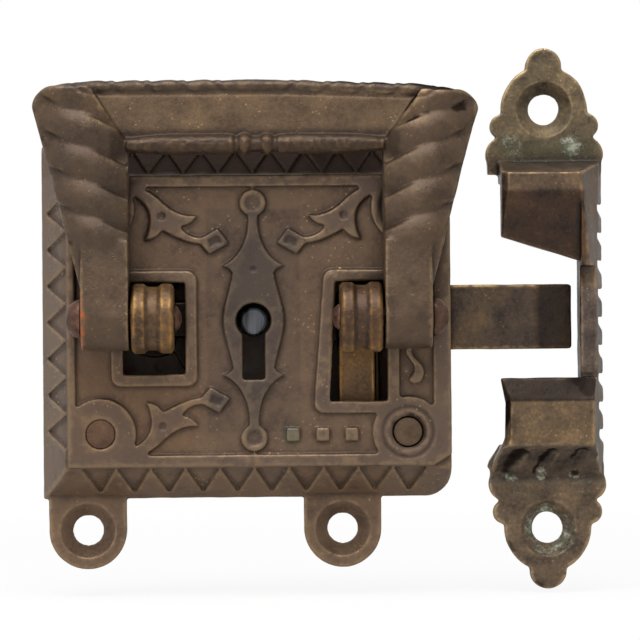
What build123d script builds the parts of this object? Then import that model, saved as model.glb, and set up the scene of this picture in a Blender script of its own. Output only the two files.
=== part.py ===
from build123d import *
import math
import os

# Shared frame: X right, Z up, the door behind at Y = 0, the front toward -Y.
# Depths are measured from the door toward the viewer. Lengths in mm.

# Case
case_left = 42.6
case_right = 39.3
case_half_height = 35.6
case_depth = 14.0
base_thickness = 2.2
bevel_run = 5.0
bevel_top = 12.4
plate_step = 0.5
end_step = 1.0
front_wall = 2.8
border_side = 1.6
border_end = 2.4
border_right = 3.6
relief = 0.8
incision = 0.4
corner_cut = 3.6
base_corner_radius = 4.8

# Screw ears
ear_left_x = -33.7
ear_right_x = 17.7
ear_z = 42.0
ear_radius = 7.8
ear_top_z = 40.8
ear_top_radius = 6.4
ear_thickness = 3.0
screw_hole_radius = 3.0
screw_sink_radius = 5.6
screw_sink_angle = 90

# Bevel notches
side_notches = 7
end_notches = 10
notch_pitch_side = 7.3
notch_pitch_end = 6.9
notch_depth = 0.75

# Back plate and rivets
sheet = 1.2
sheet_lap = 1.8
sheet_gap = 0.1
rivet_x = 30.6
rivet_z = 22.4
rivet_radius = 2.9
rivet_gap = 0.02
boss_radius = 4.6
pad_radius = 7.1

# Lever
pivot_x = -19.8
pivot_z = 0.4
eye_span = 41.0
eye_radius = 6.9
eye_width = 8.4
eye_groove = 0.6
eye_groove_half = 1.1
shank_height = 10.0
lever_gap = 0.4
lever_back_gap = 0.1
lever_clear = 0.9
lever_hub_radius = 7.6
collar_half_width = 8.8
collar_half_height = 3.5
lever_ring_inner = 12.8
lever_ring_band = 4.2
lever_arm_height = 9.0
bolt_height = 13.0
bolt_reach = 64.2
bolt_bevel = 7.0
bolt_tip_thickness = 2.4
bolt_corner = 0.6
lever_swing = 12.5
tail_drop = 17.4
tail_depth = 3.2
lug_bottom = 10.0
lug_height = 4.0
lug_width = 5.0
stud_radius = 3.0
stud_gap = 0.05
stud_depth = 9.0
washer_radius = 6.0
washer_thickness = 0.6

# Handle
knuckle_radius = 6.3
knuckle_gap = 0.5
arm_gap = 0.4
arm_width = 9.4
arm_spread = 19.0
arm_top_z = 42.4
arm_straight_z = 6.0
rope_start_z = 13.4
rope_strands = 5
rope_pitch = 7.0
rope_slant = 27
rope_sag = 0.9
rope_arc = 13.0
rope_rise = 5.4
rope_fall = 0.075
roll_z = 46.2
roll_radius = 1.4
roll_pitch = 7.0
roll_lobes = 4
roll_sag = 0.22
roll_tilt = 3
roll_proud = 0.55
roll_end_length = 5.4
roll_end_tilt = 9
roll_end_drop = 0.45
arm_crown_z = 46.3
panel_bottom_z = 34.6
panel_top_z = 46.6
panel_half_bottom = 26.4
panel_half_top = 33.6
panel_thickness = 4.0
panel_back = 1.2
rod_forward = 0.8
rod_profile = [
    (0, 0), (0, 1.5), (0.9, 1.5), (1.3, 1.9), (2.2, 2.2), (3.1, 1.9), (3.5, 1.5), (4.1, 1.5), (4.6, 1.9),
    (6.0, 2.0), (17.0, 2.0), (21.0, 1.8), (25.5, 1.3), (25.5, 0),
]

# Hinge pins
pin_radius = 2.4
pin_seat_gap = 0.02
pin_run_gap = 0.05
pin_head_radius = 3.9
pin_head_height = 3.0
pin_head_gap = 0.2
pin_peen = 1.4

# Keyhole and key works
key_radius = 3.5
key_slot_width = 4.4
key_slot_bottom = 11.8
key_stop_radius = 3.1
key_stop_length = 5.4
key_stop_shank = 1.5
bit_radius = 12.2
bit_width = 7.0
dog_thickness = 3.2
dog_throw = 5.0
dog_bottom = 6.5
dog_tip_height = 3.1
dog_tip_x = 13.0
dog_shoulder_x = 8.5
dog_left = -12.4
dog_top = 18.0
dog_slot_z = 15.2
dog_screw_left = -5.0
dog_screw_right = 6.0
dog_screw_radius = 1.5
dog_screw_head = 2.5
dog_screw_head_height = 0.5
dog_screw_bite = 1.4
dog_slot_gap = 0.1
dog_gap = 0.2
spring_sheet = 0.5
spring_width = 2.4
spring_foot = 8.0
spring_screw_radius = 1.0
spring_screw_head = 1.7
spring_screw_bite = 1.6

# Windows and frames
left_window_width = 12.4
window_top = 7.6
left_window_bottom = -10.6
right_window_bottom = -16.2
right_window_right = 26.6
right_window_left_top = 16.4
right_window_left_bottom = 15.1
frame_margin = 2.4

# Keeper
keeper_x = 59.2
keeper_half_width = 11.6
keeper_tip_z = 54.8
keeper_hole_z = 42.4
tab_thickness = 3.0
tab_radius = 8.8
hood_left = 49.8
hood_right = 68.0
hood_depth = 12.0
hood_wall = 2.8
hood_base = 1.5
hood_top_z = 29.2
hood_top_run = 3.0
hood_bottom_z = -25.4
hood_bottom_run = 7.8
hood_side_run = 2.8
hood_fall = 3.0
gap_top_left = 16.4
gap_top_right = 11.4
gap_bottom = -11.8
gap_lip = 4.4
gap_right = 65.6
gap_overrun = 20.0
teeth = 9
tooth_pitch = 5.7
tooth_depth = 1.3
bar_depth = 8.0
face_bevel = 1.2
face_bevel_depth = 1.8
facet_inset = 2.6
facet_foot_inset = 0.6
facet_depth = 3.5
foot_flare = 2.8
flute_pitch = 5.2
flute_length = 9.6
flute_width = 3.0
flute_depth = 0.8

# Values that follow from the ones above
FRONT = Plane.XZ
bevel_left = -case_left + bevel_run
bevel_half = case_half_height - bevel_run - end_step
plate_left = bevel_left + plate_step
plate_half = bevel_half - plate_step
cavity_left = bevel_left + 2.2
cavity_right = case_right - 3.2
cavity_half = plate_half - 1.6
cavity_depth = case_depth - front_wall
field_depth = case_depth - relief
right_eye_x = pivot_x + eye_span
handle_x = pivot_x + eye_span / 2
collar_front = cavity_depth - lever_gap
pin_depth = case_depth + knuckle_gap + knuckle_radius
handle_back = case_depth + knuckle_gap
arm_inner = eye_span / 2 + eye_width / 2 + arm_gap
arm_outer = arm_inner + arm_width
arm_top_outer = arm_inner + arm_spread
ring_outer = lever_ring_inner + lever_ring_band
bolt_top = pivot_z + bolt_height / 2
bolt_bottom = pivot_z - bolt_height / 2
dog_front = cavity_depth - dog_gap
dog_back = dog_front - dog_thickness
dog_screw_back = dog_back - dog_gap - dog_screw_head_height
lever_back = sheet + washer_thickness + lever_back_gap
lever_front = dog_screw_back - lever_clear
lever_thickness = lever_front - lever_back
panel_front = handle_back + panel_back + panel_thickness
roll_depth = panel_front + roll_proud - roll_radius
rivet_spots = [(x, z) for x in (-rivet_x, rivet_x) for z in (-rivet_z, rivet_z)]
os.makedirs("parts", exist_ok=True)


def swung(x, z, degrees):
    """Return where a point of the lever lies after it swings down by an angle."""
    turn = math.radians(degrees)
    dx = x - pivot_x
    dz = z - pivot_z
    new_x = pivot_x + dx * math.cos(turn) + dz * math.sin(turn)
    new_z = pivot_z - dx * math.sin(turn) + dz * math.cos(turn)
    return new_x, new_z


def area(x_low, x_high, z_low, z_high, mode=Mode.ADD):
    """Draw a rectangle in the open sketch from its limits."""
    with Locations(((x_low + x_high) / 2, (z_low + z_high) / 2)):
        Rectangle(abs(x_high - x_low), abs(z_high - z_low), mode=mode)


def polygon(points, mode=Mode.ADD):
    """Draw a closed straight-sided outline in the open sketch."""
    Polygon(*points, align=None, mode=mode)


def discs(spots, radius, mode=Mode.ADD):
    """Draw equal circles in the open sketch."""
    with Locations(*spots):
        Circle(radius, mode=mode)


def outline(runs, mode=Mode.ADD):
    """Draw a closed outline in the open sketch from runs of points that follow each other."""
    with BuildLine() as drawn:
        for run in runs:
            if len(run) == 2:
                Line(run[0], run[1])
            elif len(run) == 3:
                ThreePointArc(run[0], run[1], run[2])
            else:
                Spline(*run)
    make_face(drawn.line.edges(), mode=mode)


def turned(runs, across, along):
    """Return runs of points with their signs changed across and along."""
    return [[(x * across, z * along) for x, z in run] for run in runs]


def across_axis(x, z, depth, radius, length, mode=Mode.ADD):
    """Add or cut a cylinder that runs along X."""
    with Locations(Location((x, -depth, z), (0, 90, 0))):
        Cylinder(radius, length, mode=mode)


def lobe(x, z, depth, angle, width, radius, sag, core):
    """Add a barrel-shaped ring round an axis that lies parallel to the front."""
    turn = math.radians(angle)
    across = (math.cos(turn), 0, math.sin(turn))
    plane = Plane(origin=(x, -depth, z), x_dir=across, z_dir=(math.sin(turn), 0, -math.cos(turn)))
    low, high, foot = -width / 2, width / 2, radius - sag
    with BuildSketch(plane) as section:
        outline([
            [(low, foot), (low, core)], [(low, core), (high, core)], [(high, core), (high, foot)],
            [(high, foot), (0, radius), (low, foot)],
        ])
    revolve(section.sketch, axis=Axis((x, -depth, z), across))


def notch(origin, x_dir, z_dir, half, tip, root, depth):
    """Cut a pointed notch into a bevel."""
    with BuildSketch(Plane(origin=origin, x_dir=x_dir, z_dir=z_dir)) as point:
        polygon([(-half, root), (half, root), (0, tip)])
    extrude(point.sketch, amount=-depth, mode=Mode.SUBTRACT)


# Ornament outlines, in X and Z about the key axis, for the upper right quarter
leaf = [
    [(4.7, 15.4), (7.0, 18.4)],
    [(7.0, 18.4), (10.0, 16.6)],
    [(10.0, 16.6), (12.4, 17.0), (14.5, 18.9)],
    [(14.5, 18.9), (12.6, 19.4), (11.0, 21.0)],
    [(11.0, 21.0), (14.0, 21.2), (17.0, 22.8), (19.0, 24.6), (21.2, 26.0)],
    [(21.2, 26.0), (21.6, 28.0)],
    [(21.6, 28.0), (25.8, 28.0)],
    [(25.8, 28.0), (24.4, 25.2)],
    [(24.4, 25.2), (21.9, 23.6), (20.8, 22.0), (20.5, 19.2), (21.5, 16.1)],
    [(21.5, 16.1), (19.3, 16.8), (18.1, 18.1)],
    [(18.1, 18.1), (15.2, 16.6), (12.8, 15.7), (10.5, 15.3)],
    [(10.5, 15.3), (8.7, 13.2)],
    [(8.7, 13.2), (4.7, 15.4)],
]
leaf_diamond = [(5.9, 15.6), (7.1, 17.2), (9.1, 16.1), (8.4, 14.5)]
leaf_dot = (18.2, 20.9)
plaque_half = [
    [(1.1, 21.4), (1.5, 16.4), (3.3, 13.0), (6.3, 10.8)],
    [(6.3, 10.8), (5.0, 10.4), (4.1, 9.4)],
    [(4.1, 9.4), (5.2, 5.0), (6.1, 0.0), (5.2, -5.0), (4.1, -9.4)],
    [(4.1, -9.4), (5.0, -10.4), (6.3, -10.8)],
    [(6.3, -10.8), (3.3, -13.0), (1.5, -16.4), (1.1, -21.4)],
]
plaque_ring_z = 23.4
plaque_ring_radius = 2.65
plaque_disc_radius = 1.6
plaque_dot_z = 10.2
squares = [(7.7, -22.8), (13.6, -22.8), (19.4, -22.8)]
square_size = 2.7
curl = [
    [(30.8, 4.6), (32.3, 4.6)],
    [(32.3, 4.6), (31.9, 7.5), (33.2, 8.8), (33.9, 10.5), (33.2, 12.4), (31.9, 12.9)],
    [(31.9, 12.9), (30.9, 11.8), (31.8, 10.6), (31.9, 9.6), (30.9, 7.8), (30.8, 4.6)],
]
leaf_dot_radius = 0.9
plaque_dot_size = 1.2

slot_bottom = swung(case_right + 2.0, bolt_bottom, lever_swing)[1] - lever_gap
bevel_rise = bevel_top - base_thickness
end_run = bevel_run + end_step
field_right = case_right - border_right
field_left = plate_left + border_side
field_half = plate_half - border_end

with BuildSketch() as frame_drawing:
    polygon([
        (right_window_left_top - frame_margin, window_top + frame_margin),
        (right_window_right + frame_margin, window_top + frame_margin),
        (right_window_right + frame_margin, right_window_bottom - frame_margin),
        (right_window_left_bottom - frame_margin - 0.9, right_window_bottom - frame_margin),
    ])
    fillet(frame_drawing.vertices(), radius=frame_margin * 0.8)
right_frame = frame_drawing.sketch

with BuildPart() as case:
    with BuildSketch(FRONT):
        area(-case_left, case_right, -case_half_height, case_half_height)
    extrude(amount=base_thickness)
    with BuildSketch(FRONT.offset(base_thickness)):
        area(-case_left, case_right, -case_half_height, case_half_height)
    with BuildSketch(FRONT.offset(bevel_top)):
        area(bevel_left, case_right, -bevel_half, bevel_half)
    loft(ruled=True)
    upright = case.edges().filter_by(Axis.Y)
    base_corner = upright.filter_by_position(Axis.X, case_right - 0.1, case_right + 0.1)
    fillet(base_corner, radius=base_corner_radius)
    with BuildSketch(FRONT.offset(bevel_top)):
        polygon([
            (plate_left, plate_half), (case_right - corner_cut, plate_half),
            (case_right, plate_half - corner_cut * 0.6), (case_right, -plate_half + corner_cut * 0.6),
            (case_right - corner_cut, -plate_half), (plate_left, -plate_half),
        ])
    extrude(amount=case_depth - bevel_top)
    with BuildSketch(FRONT):
        for ear_x in (ear_left_x, ear_right_x):
            discs([(ear_x, -ear_z)], ear_radius)
            area(ear_x - ear_radius, ear_x + ear_radius, -ear_z, 0)
            discs([(ear_x, ear_top_z)], ear_top_radius)
            area(ear_x - ear_top_radius, ear_x + ear_top_radius, 0, ear_top_z)
        area(-case_left, case_right, -case_half_height + 1, case_half_height - 1, mode=Mode.SUBTRACT)
    extrude(amount=ear_thickness)
    with Locations(*[FRONT.offset(ear_thickness).location * Pos(x, z, 0)
                     for x in (ear_left_x, ear_right_x) for z in (-ear_z, ear_top_z)]):
        CounterSinkHole(screw_hole_radius, screw_sink_radius, depth=ear_thickness,
                        counter_sink_angle=screw_sink_angle)

    # Inside: room for the works, corner bosses for the rivets, seat for the back plate
    with BuildSketch(FRONT):
        area(cavity_left, cavity_right, -cavity_half, cavity_half)
        for x, z in rivet_spots:
            side = math.copysign(1, x)
            end = math.copysign(1, z)
            wall_x = cavity_right if side > 0 else cavity_left
            area(x, wall_x, z - end * boss_radius, end * cavity_half, mode=Mode.SUBTRACT)
            area(x - side * boss_radius, wall_x, z, end * cavity_half, mode=Mode.SUBTRACT)
        discs(rivet_spots, boss_radius, mode=Mode.SUBTRACT)
    extrude(amount=cavity_depth, mode=Mode.SUBTRACT)
    with BuildSketch(FRONT):
        area(cavity_left - sheet_lap, cavity_right + sheet_lap,
             -cavity_half - sheet_lap, cavity_half + sheet_lap)
    extrude(amount=sheet, mode=Mode.SUBTRACT)
    with BuildSketch(FRONT.offset(sheet)):
        area(cavity_right - 0.6, case_right + 1, slot_bottom, bolt_top + lever_gap)
    extrude(amount=lever_front - sheet + lever_gap, mode=Mode.SUBTRACT)
    with BuildSketch(FRONT):
        discs(rivet_spots, rivet_radius + rivet_gap)
    extrude(amount=case_depth, mode=Mode.SUBTRACT)

    # Windows and keyhole
    with BuildSketch(FRONT.offset(cavity_depth)):
        area(pivot_x - left_window_width / 2, pivot_x + left_window_width / 2, left_window_bottom, window_top)
        polygon([
            (right_window_left_top, window_top), (right_window_right, window_top),
            (right_window_right, right_window_bottom), (right_window_left_bottom, right_window_bottom),
        ])
        Circle(key_radius)
        area(-key_slot_width / 2, key_slot_width / 2, -key_slot_bottom, 0)
    extrude(amount=front_wall, mode=Mode.SUBTRACT)

    # Relief of the front plate
    with BuildSketch(FRONT.offset(field_depth)):
        area(field_left, field_right, -field_half, field_half)
        for x, z in rivet_spots:
            area(x, math.copysign(case_right, x), z, math.copysign(plate_half, z), mode=Mode.SUBTRACT)
        discs(rivet_spots, pad_radius, mode=Mode.SUBTRACT)
        with Locations((pivot_x, (window_top + left_window_bottom) / 2)):
            RectangleRounded(left_window_width + 2 * frame_margin,
                             window_top - left_window_bottom + 2 * frame_margin,
                             frame_margin * 0.8, mode=Mode.SUBTRACT)
        make_face(right_frame.edges(), mode=Mode.SUBTRACT)
        outline(leaf, mode=Mode.SUBTRACT)
        outline(turned(leaf, -1, 1), mode=Mode.SUBTRACT)
        outline(turned(leaf, -1, -1), mode=Mode.SUBTRACT)
        plaque_left = [list(reversed(run)) for run in reversed(turned(plaque_half, -1, 1))]
        plaque_foot = [plaque_half[-1][-1], plaque_left[0][0]]
        plaque_top = [plaque_left[-1][-1], plaque_half[0][0]]
        outline(plaque_half + [plaque_foot] + plaque_left + [plaque_top], mode=Mode.SUBTRACT)
        discs([(0, plaque_ring_z), (0, -plaque_ring_z)], plaque_ring_radius, mode=Mode.SUBTRACT)
        with Locations(*squares):
            Rectangle(square_size, square_size, mode=Mode.SUBTRACT)
        outline(curl, mode=Mode.SUBTRACT)
        outline(turned(curl, 1, -1), mode=Mode.SUBTRACT)
    extrude(amount=relief, mode=Mode.SUBTRACT)
    with BuildSketch(FRONT.offset(case_depth - incision)):
        discs([(0, plaque_ring_z), (0, -plaque_ring_z)], plaque_disc_radius)
        with Locations((0, plaque_dot_z)):
            Rectangle(plaque_dot_size, plaque_dot_size, rotation=45)
        for across, along in ((1, 1), (-1, 1), (-1, -1)):
            polygon([(x * across, z * along) for x, z in leaf_diamond])
            discs([(leaf_dot[0] * across, leaf_dot[1] * along)], leaf_dot_radius)
    extrude(amount=incision, mode=Mode.SUBTRACT)

    # Pointed notches along the three bevels
    side_length = math.hypot(bevel_run, bevel_rise)
    end_length = math.hypot(end_run, bevel_rise)
    middle_depth = (base_thickness + bevel_top) / 2
    for index in range(side_notches):
        row = (index - (side_notches - 1) / 2) * notch_pitch_side
        notch(((-case_left + bevel_left) / 2, -middle_depth, row), (0, 0, 1), (-bevel_rise, -bevel_run, 0),
              notch_pitch_side * 0.48, side_length * 0.36, -side_length * 0.5, notch_depth)
    for index in range(end_notches):
        row = (index - (end_notches - 1) / 2) * notch_pitch_end
        notch((row, -middle_depth, -(case_half_height + bevel_half) / 2),
              (1, 0, 0), (0, -end_run, -bevel_rise),
              notch_pitch_end * 0.48, -end_length * 0.36, end_length * 0.5, notch_depth)
        notch((row, -middle_depth, (case_half_height + bevel_half) / 2), (1, 0, 0), (0, -end_run, bevel_rise),
              notch_pitch_end * 0.48, end_length * 0.36, -end_length * 0.5, notch_depth)

    # Threaded seats for the guide screws and the spring screw
    with BuildSketch(FRONT.offset(cavity_depth)):
        discs([(dog_screw_left, dog_slot_z), (dog_screw_right, dog_slot_z)], dog_screw_radius + rivet_gap)
    extrude(amount=dog_screw_bite, mode=Mode.SUBTRACT)
    with Locations((-spring_foot, -(dog_front + dog_back) / 2, cavity_half + spring_screw_bite / 2)):
        Cylinder(spring_screw_radius + rivet_gap, spring_screw_bite, mode=Mode.SUBTRACT)
case.part.label = "case"
export_step(case.part, "parts/case.step")

with BuildPart() as back_plate:
    with BuildSketch(FRONT):
        area(cavity_left - sheet_lap + sheet_gap, cavity_right + sheet_lap - sheet_gap,
             -cavity_half - sheet_lap + sheet_gap, cavity_half + sheet_lap - sheet_gap)
        discs(rivet_spots, rivet_radius + rivet_gap, mode=Mode.SUBTRACT)
        discs([(pivot_x, pivot_z)], stud_radius + rivet_gap, mode=Mode.SUBTRACT)
        discs([(0, 0)], key_stop_shank + rivet_gap, mode=Mode.SUBTRACT)
    extrude(amount=sheet)
back_plate.part.label = "back_plate"
export_step(back_plate.part, "parts/back_plate.step")

with BuildPart() as case_rivets:
    with BuildSketch(FRONT):
        discs(rivet_spots, rivet_radius)
    extrude(amount=case_depth - 0.2)
case_rivets.part.label = "case_rivets"
export_step(case_rivets.part, "parts/case_rivets.step")

with BuildPart() as pivot_stud:
    with BuildSketch(FRONT):
        discs([(pivot_x, pivot_z)], stud_radius)
    extrude(amount=stud_depth)
    chamfer(pivot_stud.edges().sort_by(Axis.Y)[0], length=0.5)
pivot_stud.part.label = "pivot_stud"
export_step(pivot_stud.part, "parts/pivot_stud.step")

with BuildPart() as pivot_washer:
    with BuildSketch(FRONT.offset(sheet)):
        discs([(pivot_x, pivot_z)], washer_radius)
        discs([(pivot_x, pivot_z)], stud_radius + stud_gap, mode=Mode.SUBTRACT)
    extrude(amount=washer_thickness)
pivot_washer.part.label = "pivot_washer"
export_step(pivot_washer.part, "parts/pivot_washer.step")

lug_x = dog_tip_x + 1.0
with BuildPart() as latch_lever:
    with BuildSketch(FRONT.offset(lever_back)):
        discs([(pivot_x, pivot_z)], lever_hub_radius)
        discs([(0, 0)], ring_outer)
        area(0, case_right, pivot_z - lever_arm_height / 2, pivot_z + lever_arm_height / 2)
        area(case_right - 0.2, bolt_reach, bolt_bottom, bolt_top)
        area(right_eye_x - eye_width / 2, right_eye_x + eye_width / 2, -tail_drop, pivot_z)
        area(lug_x - 4, lug_x + lug_width, pivot_z, lug_bottom + lug_height)
        discs([(0, 0)], lever_ring_inner, mode=Mode.SUBTRACT)
    extrude(amount=lever_thickness)
    upright = latch_lever.edges().filter_by(Axis.Y)
    bolt_ends = upright.filter_by_position(Axis.X, bolt_reach - 0.1, bolt_reach + 0.1)
    fillet(bolt_ends, radius=bolt_corner)
    with BuildSketch(Plane.XY.offset(bolt_bottom - 1)):
        polygon([
            (bolt_reach - bolt_bevel, -lever_front), (bolt_reach, -lever_back - bolt_tip_thickness),
            (bolt_reach + 2, -lever_back - bolt_tip_thickness), (bolt_reach + 2, -lever_front - 2),
            (bolt_reach - bolt_bevel, -lever_front - 2),
        ])
    extrude(amount=bolt_height + 2, mode=Mode.SUBTRACT)
    with BuildSketch(FRONT.offset(lever_front)):
        area(pivot_x - collar_half_width, pivot_x + collar_half_width,
             pivot_z - collar_half_height, pivot_z + collar_half_height)
        area(right_eye_x - eye_width / 2, right_eye_x + eye_width / 2,
             pivot_z - shank_height / 2, pivot_z + shank_height / 2)
        area(lug_x, lug_x + lug_width, lug_bottom, lug_bottom + lug_height)
    extrude(amount=collar_front - lever_front)
    with BuildSketch(FRONT.offset(lever_front)):
        area(right_eye_x - eye_width / 2, right_eye_x + eye_width / 2 - 1.2, -tail_drop, pivot_z)
    extrude(amount=tail_depth)
    with BuildSketch(FRONT.offset(lever_front)):
        for eye_x in (pivot_x, right_eye_x):
            area(eye_x - eye_width / 2 + 0.3, eye_x + eye_width / 2 - 0.3,
                 pivot_z - shank_height / 2, pivot_z + shank_height / 2)
    extrude(amount=pin_depth - lever_front)
    for eye_x in (pivot_x, right_eye_x):
        half = eye_width / 2
        with BuildSketch(FRONT.offset(pin_depth)):
            with Locations((eye_x, pivot_z)):
                Polygon(
                    (-half, 0), (-half, eye_radius - 0.6), (-half + 0.6, eye_radius),
                    (-eye_groove_half - 0.6, eye_radius), (-eye_groove_half, eye_radius - eye_groove),
                    (eye_groove_half, eye_radius - eye_groove), (eye_groove_half + 0.6, eye_radius),
                    (half - 0.6, eye_radius), (half, eye_radius - 0.6), (half, 0), align=None,
                )
        revolve(axis=Axis((eye_x, -pin_depth, pivot_z), (1, 0, 0)))
        across_axis(eye_x, pivot_z, pin_depth, pin_radius + pin_seat_gap, eye_width + 2, mode=Mode.SUBTRACT)
    with BuildSketch(FRONT.offset(lever_back)):
        discs([(pivot_x, pivot_z)], stud_radius + stud_gap)
    extrude(amount=stud_depth - lever_back + lever_gap, mode=Mode.SUBTRACT)
latch_lever.part.label = "latch_lever"
export_step(latch_lever.part, "parts/latch_lever.step")

# One rope-twist arm of the handle, to the right of the middle
rope_bed = pin_depth + rope_rise - rope_fall * (arm_top_z - rope_start_z) - 3.4
with BuildPart() as rope_arm:
    for index in range(rope_strands):
        strand_z = rope_start_z + rope_pitch * (index + 0.45)
        climb = (strand_z - arm_straight_z) / (arm_top_z - arm_straight_z)
        outer = arm_outer + (arm_top_outer - arm_outer) * climb
        crest = pin_depth + rope_rise - rope_fall * (strand_z - rope_start_z)
        lobe((arm_inner + outer) / 2, strand_z, crest - rope_arc, 90 + rope_slant,
             rope_pitch * math.cos(math.radians(rope_slant)) + 0.3, rope_arc, rope_sag, rope_arc - 7)
    with BuildSketch(FRONT.offset(handle_back)):
        area(arm_inner, arm_top_outer, rope_start_z - 1, panel_top_z + 1)
    extrude(amount=rope_bed - handle_back)
    with BuildSketch(FRONT.offset(handle_back)):
        with BuildLine():
            Polyline(
                (panel_half_top + 5.0, arm_crown_z), (panel_half_top - 1, arm_crown_z),
                (arm_inner, panel_bottom_z), (arm_inner, rope_start_z - 1),
                (arm_outer + (arm_top_outer - arm_outer) * 0.17, rope_start_z - 1),
                (arm_top_outer, arm_top_z),
            )
            ThreePointArc((arm_top_outer, arm_top_z), (arm_top_outer - 1.2, arm_crown_z - 1.2),
                          (panel_half_top + 5.0, arm_crown_z))
        make_face()
    extrude(amount=3 * knuckle_radius, mode=Mode.INTERSECT)
    with BuildSketch(Plane.YZ.offset(arm_inner)):
        with Locations((-pin_depth, pivot_z)):
            Circle(knuckle_radius)
        polygon([
            (-pin_depth - knuckle_radius, pivot_z), (-pin_depth - rope_rise + 0.9, rope_start_z + 2.4),
            (-handle_back, rope_start_z + 2.4), (-handle_back, pivot_z),
        ])
    extrude(amount=arm_width)
    with BuildSketch(FRONT.offset(handle_back)):
        polygon([
            (arm_outer - 0.5, arm_straight_z), (arm_outer, arm_straight_z),
            (arm_outer + (arm_top_outer - arm_outer) * 0.27, rope_start_z + 2.4),
            (arm_outer - 0.5, rope_start_z + 2.4),
        ])
    extrude(amount=pin_depth + rope_rise - 1.6 - handle_back)

with BuildPart() as handle_blank:
    with BuildSketch(FRONT.offset(handle_back + panel_back)):
        polygon([
            (-panel_half_bottom, panel_bottom_z - 0.6), (panel_half_bottom, panel_bottom_z - 0.6),
            (panel_half_top, panel_top_z), (-panel_half_top, panel_top_z),
        ])
    extrude(amount=panel_thickness)
    lobe(0, roll_z, roll_depth, 0, 2 * roll_pitch + 0.4, roll_radius, roll_sag, 0)
    for index in range(roll_lobes):
        lobe_x = roll_pitch * (index + 1.5)
        lobe(lobe_x, roll_z, roll_depth, -roll_tilt, roll_pitch * 1.05, roll_radius, roll_sag, 0)
        lobe(-lobe_x, roll_z, roll_depth, roll_tilt, roll_pitch * 1.05, roll_radius, roll_sag, 0)
    for side in (-1, 1):
        end_x = side * (roll_pitch * (roll_lobes + 1) + roll_end_length * 0.46)
        lobe(end_x, roll_z - roll_end_drop, roll_depth, -side * roll_end_tilt, roll_end_length, roll_radius,
             roll_sag, 0)
    rod_depth = panel_front + rod_forward
    with BuildSketch(FRONT.offset(rod_depth)):
        with Locations((0, panel_bottom_z)):
            polygon(rod_profile)
        mirror(about=Plane.YZ)
    revolve(axis=Axis((0, -rod_depth, panel_bottom_z), (1, 0, 0)))
    add(rope_arm.part)
    add(rope_arm.part.mirror(Plane.YZ))
    across_axis(0, pivot_z, pin_depth, pin_radius + pin_run_gap, 4 * arm_outer, mode=Mode.SUBTRACT)

with BuildPart() as handle:
    add(handle_blank.part.moved(Location((handle_x, 0, 0))))
handle.part.label = "handle"
export_step(handle.part, "parts/handle.step")


def hinge_pin(side):
    """Add one hinge pin: domed head outside the arm, shank, peened end inside the eye."""
    head_x = handle_x + side * (arm_outer + pin_head_gap)
    end_x = handle_x + side * (eye_span / 2 - eye_width / 2)
    across_axis((head_x + end_x) / 2, pivot_z, pin_depth, pin_radius, abs(head_x - end_x))
    for start, height, radius in ((head_x, side * pin_head_height, pin_head_radius),
                                  (end_x, -side * pin_peen, pin_radius + 0.3)):
        rim = (start, pivot_z + radius)
        centre = (start, pivot_z)
        top = (start + height, pivot_z)
        with BuildSketch(FRONT.offset(pin_depth)) as dome:
            outline([
                [rim, centre], [centre, top],
                [top, (start + height * 0.74, pivot_z + radius * 0.68), rim],
            ])
        revolve(dome.sketch, axis=Axis((0, -pin_depth, pivot_z), (1, 0, 0)))


with BuildPart() as left_hinge_pin:
    hinge_pin(-1)
left_hinge_pin.part.label = "left_hinge_pin"
export_step(left_hinge_pin.part, "parts/left_hinge_pin.step")

with BuildPart() as right_hinge_pin:
    hinge_pin(1)
right_hinge_pin.part.label = "right_hinge_pin"
export_step(right_hinge_pin.part, "parts/right_hinge_pin.step")

with BuildPart() as key_stop:
    with BuildSketch(FRONT):
        Circle(key_stop_shank)
    extrude(amount=sheet)
    with BuildSketch(FRONT.offset(sheet)):
        Circle(key_stop_radius)
    extrude(amount=key_stop_length)
    fillet(key_stop.edges().group_by(Axis.Y)[0], radius=0.9)
key_stop.part.label = "key_stop"
export_step(key_stop.part, "parts/key_stop.step")

with BuildPart() as lock_dog:
    with BuildSketch(FRONT.offset(dog_back)):
        polygon([
            (dog_left, dog_bottom), (-bit_width / 2, dog_bottom), (-bit_width / 2, bit_radius),
            (bit_width / 2, bit_radius), (bit_width / 2, dog_bottom), (dog_tip_x, dog_bottom),
            (dog_tip_x, dog_bottom + dog_tip_height), (dog_shoulder_x, dog_bottom + dog_tip_height),
            (dog_shoulder_x, dog_top), (dog_left, dog_top),
        ])
        for screw_x in (dog_screw_left, dog_screw_right):
            with Locations((screw_x - dog_throw / 2, dog_slot_z)):
                slot_width = 2 * (dog_screw_radius + dog_slot_gap)
                SlotOverall(dog_throw + slot_width, slot_width, mode=Mode.SUBTRACT)
    extrude(amount=dog_thickness)
lock_dog.part.label = "lock_dog"
export_step(lock_dog.part, "parts/lock_dog.step")

dog_screw_spots = [(dog_screw_left, dog_slot_z), (dog_screw_right, dog_slot_z)]
with BuildPart() as dog_guide_screws:
    with BuildSketch(FRONT.offset(dog_back - dog_gap)):
        discs(dog_screw_spots, dog_screw_radius)
    extrude(amount=cavity_depth - dog_back + dog_gap + dog_screw_bite)
    with BuildSketch(FRONT.offset(dog_screw_back)):
        discs(dog_screw_spots, dog_screw_head)
    extrude(amount=dog_screw_head_height)
dog_guide_screws.part.label = "dog_guide_screws"
export_step(dog_guide_screws.part, "parts/dog_guide_screws.step")

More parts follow.
